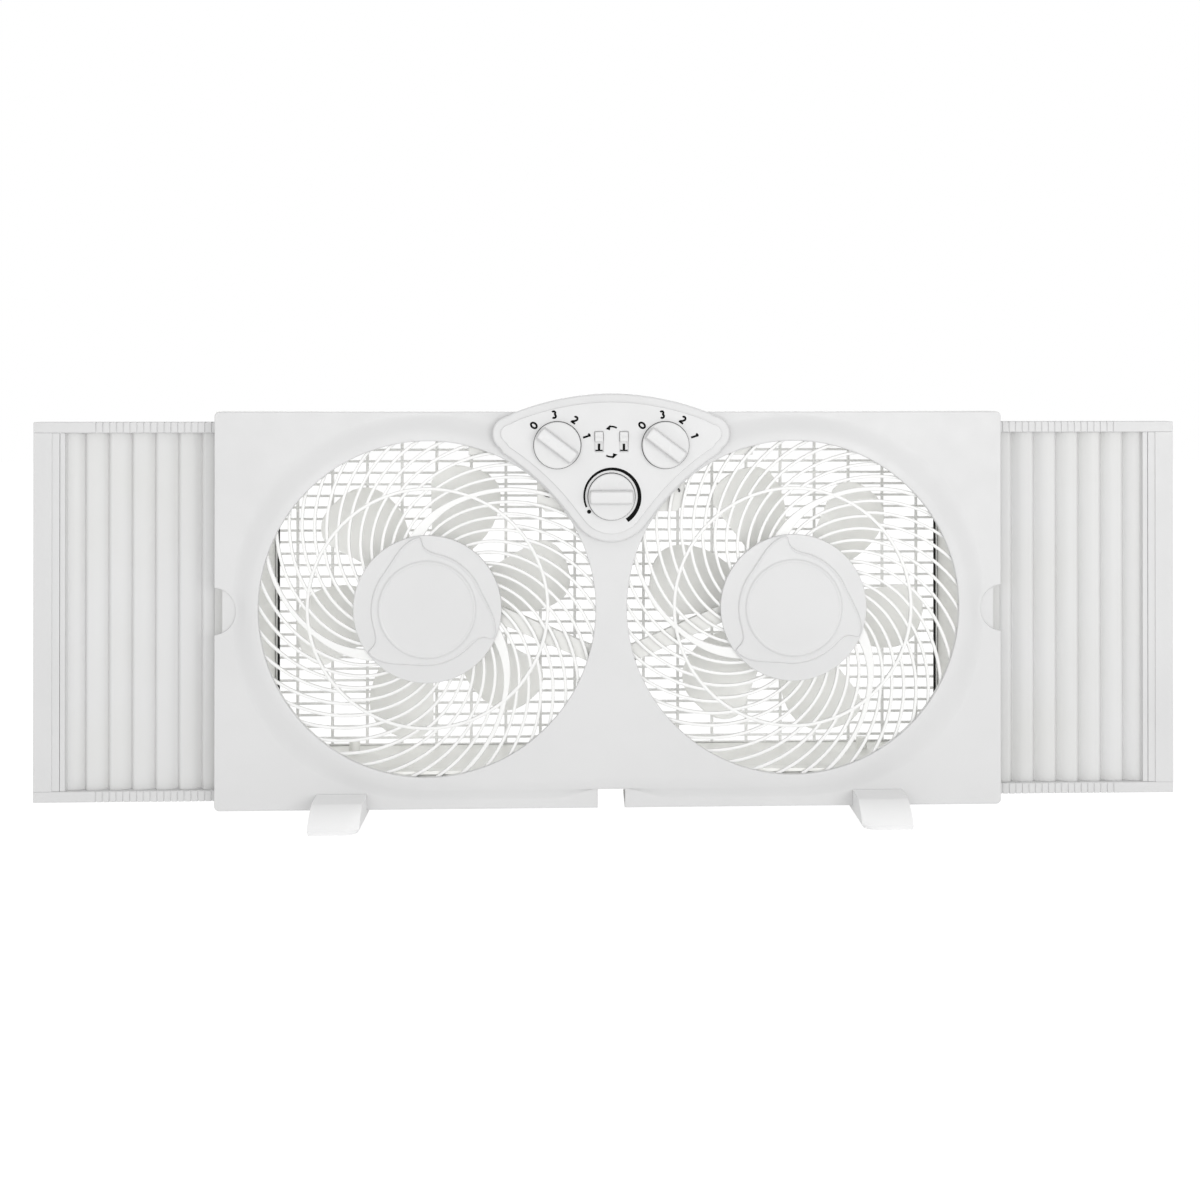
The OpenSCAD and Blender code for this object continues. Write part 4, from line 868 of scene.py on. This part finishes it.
knobs = {"r": 18.75, "thick": 5, "gripHalf": 5.4, "gripRise": 9, "gap": 0.5, "rim": 0.9, "stemR": 3, "stemEnd": -26.5,
         "speedTurn": 143, "dialTurn": 0}


# a disc with a grip bar across it: columns run along the bar, rows step over its ends
def gripDisc(y1):
    k = knobs
    r, half, rise, thick = k["r"], k["gripHalf"], k["gripRise"], k["thick"]
    columns = [(r * math.sin(math.radians(a)), 0) for a in (90, 84, 76, 68, 60, 52, 44, 37, 31, 25)]
    columns += [(half + 1.5, 0), (half + 0.7, 0.1), (half + 0.25, 0.45), (half + 0.05, 1.1),
                (half - 0.35, rise - 1.6), (half - 0.6, rise - 0.75), (half - 1.15, rise - 0.15), (half - 1.9, rise)]
    columns += [(0, rise)] + [(-v, h) for v, h in reversed(columns)]
    # how far the bar's end stays in from the disc's edge, and its share of the rise there
    ends = [(3.2, 1), (2.5, 0.995), (1.9, 0.97), (1.55, 0.91), (1.35, 0.8), (1.1, 0.12), (0.95, 0.03), (0.8, 0),
            (0.45, 0), (0.15, 0), (0, 0)]
    verts = []
    for v, h in columns:
        run = []
        for gap, share in [(None, 0), (None, 0.5)] + ends:
            reach = math.sqrt(max(0, (r - (ends[0][0] if gap is None else gap)) ** 2 - v * v))
            u = reach * share if gap is None else reach
            edge = max(0, k["rim"] - (r - math.hypot(u, v)))
            drop = k["rim"] - math.sqrt(max(0, k["rim"] ** 2 - edge ** 2))
            run.append((u, h * (1 if gap is None else share) - drop))
        run.append((run[-1][0], -thick))
        verts += [(-u, y1 - thick - up, v) for u, up in reversed(run[1:])] + [(u, y1 - thick - up, v) for u, up in run]
    rows, n = len(columns), len(verts) // len(columns)
    back = tuple(i * n for i in range(rows)) + tuple(i * n + n - 1 for i in range(rows - 1, -1, -1))
    return verts, quads(rows, n, wrap=False) + [back]


def knob(name, x, z, turn, body, node):
    k, y1, panel = knobs, at["panelFront"] - knobs["gap"], at["panelFront"]
    swing = Matrix.Translation((x, 0, z)) @ Matrix.Rotation(math.radians(-turn), 4, "Y")
    stem = [(0, y1 - 1), (k["stemR"], y1 - 1), (k["stemR"], k["stemEnd"]), (0, k["stemEnd"])]
    make(name, [moved(gripDisc(y1), swing), lathe(stem, x, z, 48)], "knob", body, (node,), sharp=42)
    # a near-black ring round the knob: painted shadow in the gap between the knob and the panel
    gap = strip(circle((x, z), k["r"] + 0.05, 120), 0.9, panel - 0.22, panel + 0.1, 0.05, closed=True)
    make(name + "Gap", [gap], "shadowGap")


# blocks of a direction button about its middle: half width, front, back, lowest, highest, edge and steps
button = {
    "lift": 4,
    "cap": (3.25, -50, -42, -4, 4, 0.6, 3), "shield": (4.4, -45.8, -43.9, -13.5, 5.5, 0.3, 2),
    "stem": (2, -42, -35.6, -2.5, 2.5, 0.2, 2), "ridge": (2.2, -50.5, -49.7, -0.5, 0.5, 0.2, 2),
    "markHead": (3, -45.95, -45.7, -11.6, -10.5, 0.05, 1), "markLine": (1, -45.95, -45.7, -10.8, -5.6, 0.05, 1),
}


def directionButton(name, s):
    x, z, body = s * at["buttonX"], at["buttonZ"] + button["lift"], name + "_direction_slider"

    def blocks(*parts):
        return [block(x - half, x + half, y0, y1, z + low, z + high, edge, steps)
                for half, y0, y1, low, high, edge, steps in (button[part] for part in parts)]

    make(name + "DirectionButton", blocks("cap", "shield", "stem", "ridge"), "knob", body,
         (name + "_direction_button",))
    make(name + "SlotMark", blocks("markHead", "markLine"), "print", body)


print("controls")
controlPanel()
panelPrint()
for name, s in sides:
    knob(name + "SpeedKnob", s * at["knobX"], at["knobZ"], knobs["speedTurn"], name + "_speed_dial",
         name + "_speed_knob")
    directionButton(name, s)
knob("thermostatKnob", 0, at["dialZ"], knobs["dialTurn"], "thermostat_dial", "thermostat_knob")

# side panels, given for the left side
sheet = {"x0": -446.6, "x1": -291.8, "z0": 19.05, "z1": 311.85, "back": -2.6, "depth": 5.2, "thick": 0.9,
         "pitch": 18.9, "firstFold": -450.2, "folds": 9, "rise": 0.2, "lean": 1.7, "lipX": -444, "lipY": -11}
rails = {"x0": -470, "x1": -278, "y0": -14, "y1": 5, "height": 8.8, "edge": 0.5, "slot": (-9.8, 1.2), "slotDepth": 0.6,
         "firstGroove": -420, "groovePitch": 5.5, "grooves": 18, "grooveW": 1.1, "grooveDepth": 0.7,
         "low": 10.6, "high": 311.5}
# the toe's outer corner is crisp and its inner corner is rounded off, less and less up to topZ
toe = {"inner": 197, "outer": 237, "big": 13, "small": 5, "behind": -36, "front": -74.9, "topZ": 21, "flare": 0.8}


# one pleat: a short steep fold up to the crest and a long slope back into the next crease
def foldDepth(x):
    p = sheet
    t = ((x - p["firstFold"]) / p["pitch"]) % 1
    if t < p["rise"]:
        crest = math.sin(math.pi / 2 * t / p["rise"])
    else:
        crest = math.cos(math.pi / 2 * ((t - p["rise"]) / (1 - p["rise"])) ** p["lean"])
    y = p["back"] - p["depth"] * crest
    return min(y, p["lipY"]) if x < p["lipX"] else y


def foldPlaces():
    p = sheet
    shares = (0, 0.015, 0.035, 0.06, 0.09, 0.13, 0.18, 0.25, 0.33, 0.42, 0.51, 0.6, 0.68, 0.76, 0.83, 0.89, 0.94, 0.975)
    places = [p["firstFold"] + p["pitch"] * (k + t) for k in range(p["folds"]) for t in shares]
    return [p["x0"]] + [x for x in places if p["x0"] + 0.3 < x < p["x1"] - 0.3] + [p["x1"]]


# a rail lofted along x, drawn in at each groove and at its outer end
def rail(name, s, place):
    r, low, up = rails, rails[place], place == "high"
    y0, y1, e, depth, height, (slot0, slot1) = r["y0"], r["y1"], r["edge"], r["grooveDepth"], r["height"], r["slot"]
    section = [(y0 + e, 0), (slot0, 0), (slot0, r["slotDepth"]), (slot1, r["slotDepth"]), (slot1, 0), (y1 - e, 0),
               (y1, e), (y1, height - e), (y1 - e, height), (y0 + e, height), (y0, height - e), (y0, e)]
    cut = [(max(y, y0 + depth), min(q, height - depth)) for y, q in section]
    end = [(min(max(y, y0 + e), y1 - e), min(q, height - e)) for y, q in section]
    stations = [(r["x0"], end), (r["x0"] + e, section)]
    for i in range(r["grooves"]):
        x = r["firstGroove"] + i * r["groovePitch"]
        stations += [(x, section), (x + 0.12, cut), (x + r["grooveW"] - 0.12, cut), (x + r["grooveW"], section)]
    stations += [(r["x1"] - e, section), (r["x1"], end)]
    verts = [(-s * x, y, low + q if up else low + height - q) for x, points in stations for y, q in points]
    shape = (verts, quads(len(stations), len(section)) + endFaces(len(stations), len(section)))
    make(name + ("TopRail" if up else "BottomRail"), [shape], "rail", name + "_side_panel",
         (name + ("_top_rail" if up else "_bottom_rail"),), sharp=30)


def accordion(name, s):
    p, xs, verts, levels = sheet, foldPlaces(), [], 7
    n, m = 2 * len(xs), len(xs)
    for k in range(levels):
        z = p["z0"] + (p["z1"] - p["z0"]) * k / (levels - 1)
        verts += [(-s * x, foldDepth(x) - p["thick"] / 2, z) for x in xs]
        verts += [(-s * x, foldDepth(x) + p["thick"] / 2, z) for x in reversed(xs)]
    faces = quads(levels, n)
    for base in (0, (levels - 1) * n):
        faces += [(base + j, base + j + 1, base + n - 2 - j, base + n - 1 - j) for j in range(m - 1)]
    made = make(name + "Accordion", [(verts, faces)], "sheet", replaced=(name + "_accordion",),
                sharp=60)
    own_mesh(made)


# two trim strips between the end bar and the first fold
def panelTrim(name, s):
    runs = [sorted((s * a, s * b)) + [y] for a, b, y in ((455.3, 449.1, -13.2), (448.8, 444.6, -13.0))]
    shapes = [block(a, b, y, -11.6, 19.5, 311.4, 0.3) for a, b, y in runs]
    make(name + "PanelTrim", shapes, "rail", name + "_side_panel")


def toeCorners(s):
    inner, outer, cuts = s * toe["inner"], s * toe["outer"], 11
    dip = lambda r, u: r - math.sqrt(r ** 2 - (r - u) ** 2) if u < r else 0

    def reshape(bm):
        for k in range(1, cuts + 1):
            x = (inner + s * toe["big"] * (1 - math.cos(math.pi / 2 * k / cuts))) * mm
            everything = bm.verts[:] + bm.edges[:] + bm.faces[:]
            bmesh.ops.bisect_plane(bm, geom=everything, plane_co=(x, 0, 0), plane_no=(1, 0, 0))
        for v in bm.verts:
            x, y, z = (c / mm for c in v.co)
            u, w = abs(x - inner), abs(x - outer)
            if y > toe["behind"]:
                continue
            if u < toe["big"]:
                v.co.y += (dip(toe["big"], u) - dip(toe["small"], u)) * max(0, 1 - z / toe["topZ"]) * mm
            elif w < toe["small"] and y < toe["front"]:
                v.co.x += s * toe["flare"] * w * mm
    return reshape


print("side panels and feet")
for name, s in sides:
    accordion(name, s)
    softened(name + "_end_bar", "rail", 0.5, name + "_side_panel", 3)
    rail(name, s, "low")
    rail(name, s, "high")
    panelTrim(name, s)
    softened(name + "_foot", "foot", 0.9, steps=3, reshape=toeCorners(s))

# light, floor and camera
studio = {
    "skyStrength": 0.72, "floorColour": (0.9, 0.9, 0.9, 1), "floorShare": 0.86, "floorGlow": 1.12, "floorFill": 0.3,
    # each lamp's place and aim in metres, its size and its power
    "lamps": (("leftLamp", (-0.8, -2.7, 0.35), (0, 0, 0.17), 1.2, 10.9),
              ("rightLamp", (1.1, -2.6, 0.35), (0, 0, 0.17), 1.2, 20.6),
              ("topLamp", (0.1, -0.5, 2.2), (0, 0, 0.17), 1.4, 0.4),
              ("lowLamp", (0, -2.1, 0.12), (0, 0, 0.1), 1.0, 7.4),
              ("backLamp", (0, 2.4, 1.7), (0, 0, 0.1), 1.6, 16)),
}
camera = {"x": -23.4, "y": -1260.2, "z": 347.2, "yaw": 2.034, "pitch": 0.195, "lens": 45.32, "shiftX": -0.03,
          "shiftY": -0.18}


def lamp(name, location, target, size, power):
    data = bpy.data.lights.new(name, "AREA")
    data.shape, data.size, data.energy = "SQUARE", size, power
    obj = newObject(name, data)
    obj.location = location
    obj.rotation_euler = (Vector(target) - Vector(location)).to_track_quat("-Z", "Y").to_euler()


# the camera and the gloss see white; the object is lit by a softer sky
def whiteStudio():
    world = bpy.context.scene.world or bpy.data.worlds.new("studio")
    bpy.context.scene.world = world
    world.use_nodes = True
    tree = world.node_tree
    tree.nodes.clear()
    out, seen, soft, mix, rays = (tree.nodes.new("ShaderNode" + kind) for kind in (
        "OutputWorld", "Background", "Background", "MixShader", "LightPath"))
    for node in (seen, soft):
        node.inputs["Color"].default_value = (1, 1, 1, 1)
    soft.inputs["Strength"].default_value = studio["skyStrength"]
    either = rays.outputs["Is Camera Ray"]
    for other in ("Is Glossy Ray", "Is Transmission Ray"):
        add = tree.nodes.new("ShaderNodeMath")
        add.operation = "MAXIMUM"
        tree.links.new(either, add.inputs[0])
        tree.links.new(rays.outputs[other], add.inputs[1])
        either = add.outputs[0]
    for source, socket in ((either, mix.inputs[0]), (soft.outputs[0], mix.inputs[1]), (seen.outputs[0], mix.inputs[2]),
                           (mix.outputs[0], out.inputs["Surface"])):
        tree.links.new(source, socket)


# pale paper that the camera sees mostly as white; it glows a little for the other rays, to fill from below
def floorSheet():
    mesh = bpy.data.meshes.new("floorSheet")
    mesh.from_pydata([(-6, -3, 0), (6, -3, 0), (6, 6, 0), (-6, 6, 0)], [], [(0, 1, 2, 3)])
    material = bpy.data.materials.new("floorPaper")
    material.use_nodes = True
    tree = material.node_tree
    paper = tree.nodes["Principled BSDF"]
    glow, mix, rays, weight = (tree.nodes.new("ShaderNode" + kind) for kind in (
        "Emission", "MixShader", "LightPath", "Math"))
    weight.operation = "MULTIPLY_ADD"
    for socket, value in ((paper.inputs["Base Color"], studio["floorColour"]), (paper.inputs["Roughness"], 0.9),
                          (paper.inputs["Specular IOR Level"], 0), (glow.inputs["Strength"], studio["floorGlow"]),
                          (weight.inputs[1], studio["floorShare"] - studio["floorFill"]),
                          (weight.inputs[2], studio["floorFill"])):
        socket.default_value = value
    for source, socket in ((rays.outputs["Is Camera Ray"], weight.inputs[0]), (weight.outputs[0], mix.inputs[0]),
                           (paper.outputs[0], mix.inputs[1]), (glow.outputs[0], mix.inputs[2]),
                           (mix.outputs[0], tree.nodes["Material Output"].inputs["Surface"])):
        tree.links.new(source, socket)
    obj = newObject("floorSheet", mesh)
    obj.data.materials.append(material)


def photoCamera():
    c = camera
    data = bpy.data.cameras.new("photoCamera")
    data.lens, data.sensor_width, data.sensor_fit = c["lens"], 36, "HORIZONTAL"
    data.shift_x, data.shift_y = c["shiftX"], c["shiftY"]
    data.clip_start, data.clip_end = 0.05, 60
    obj = newObject("photoCamera", data)
    obj.location = (c["x"] * mm, c["y"] * mm, c["z"] * mm)
    obj.rotation_euler = (math.radians(90 + c["pitch"]), 0, math.radians(-c["yaw"]))
    bpy.context.scene.camera = obj


print("studio")
whiteStudio()
floorSheet()
for setting in studio["lamps"]:
    lamp(*setting)
photoCamera()
bpy.context.scene.view_settings.view_transform = "Standard"
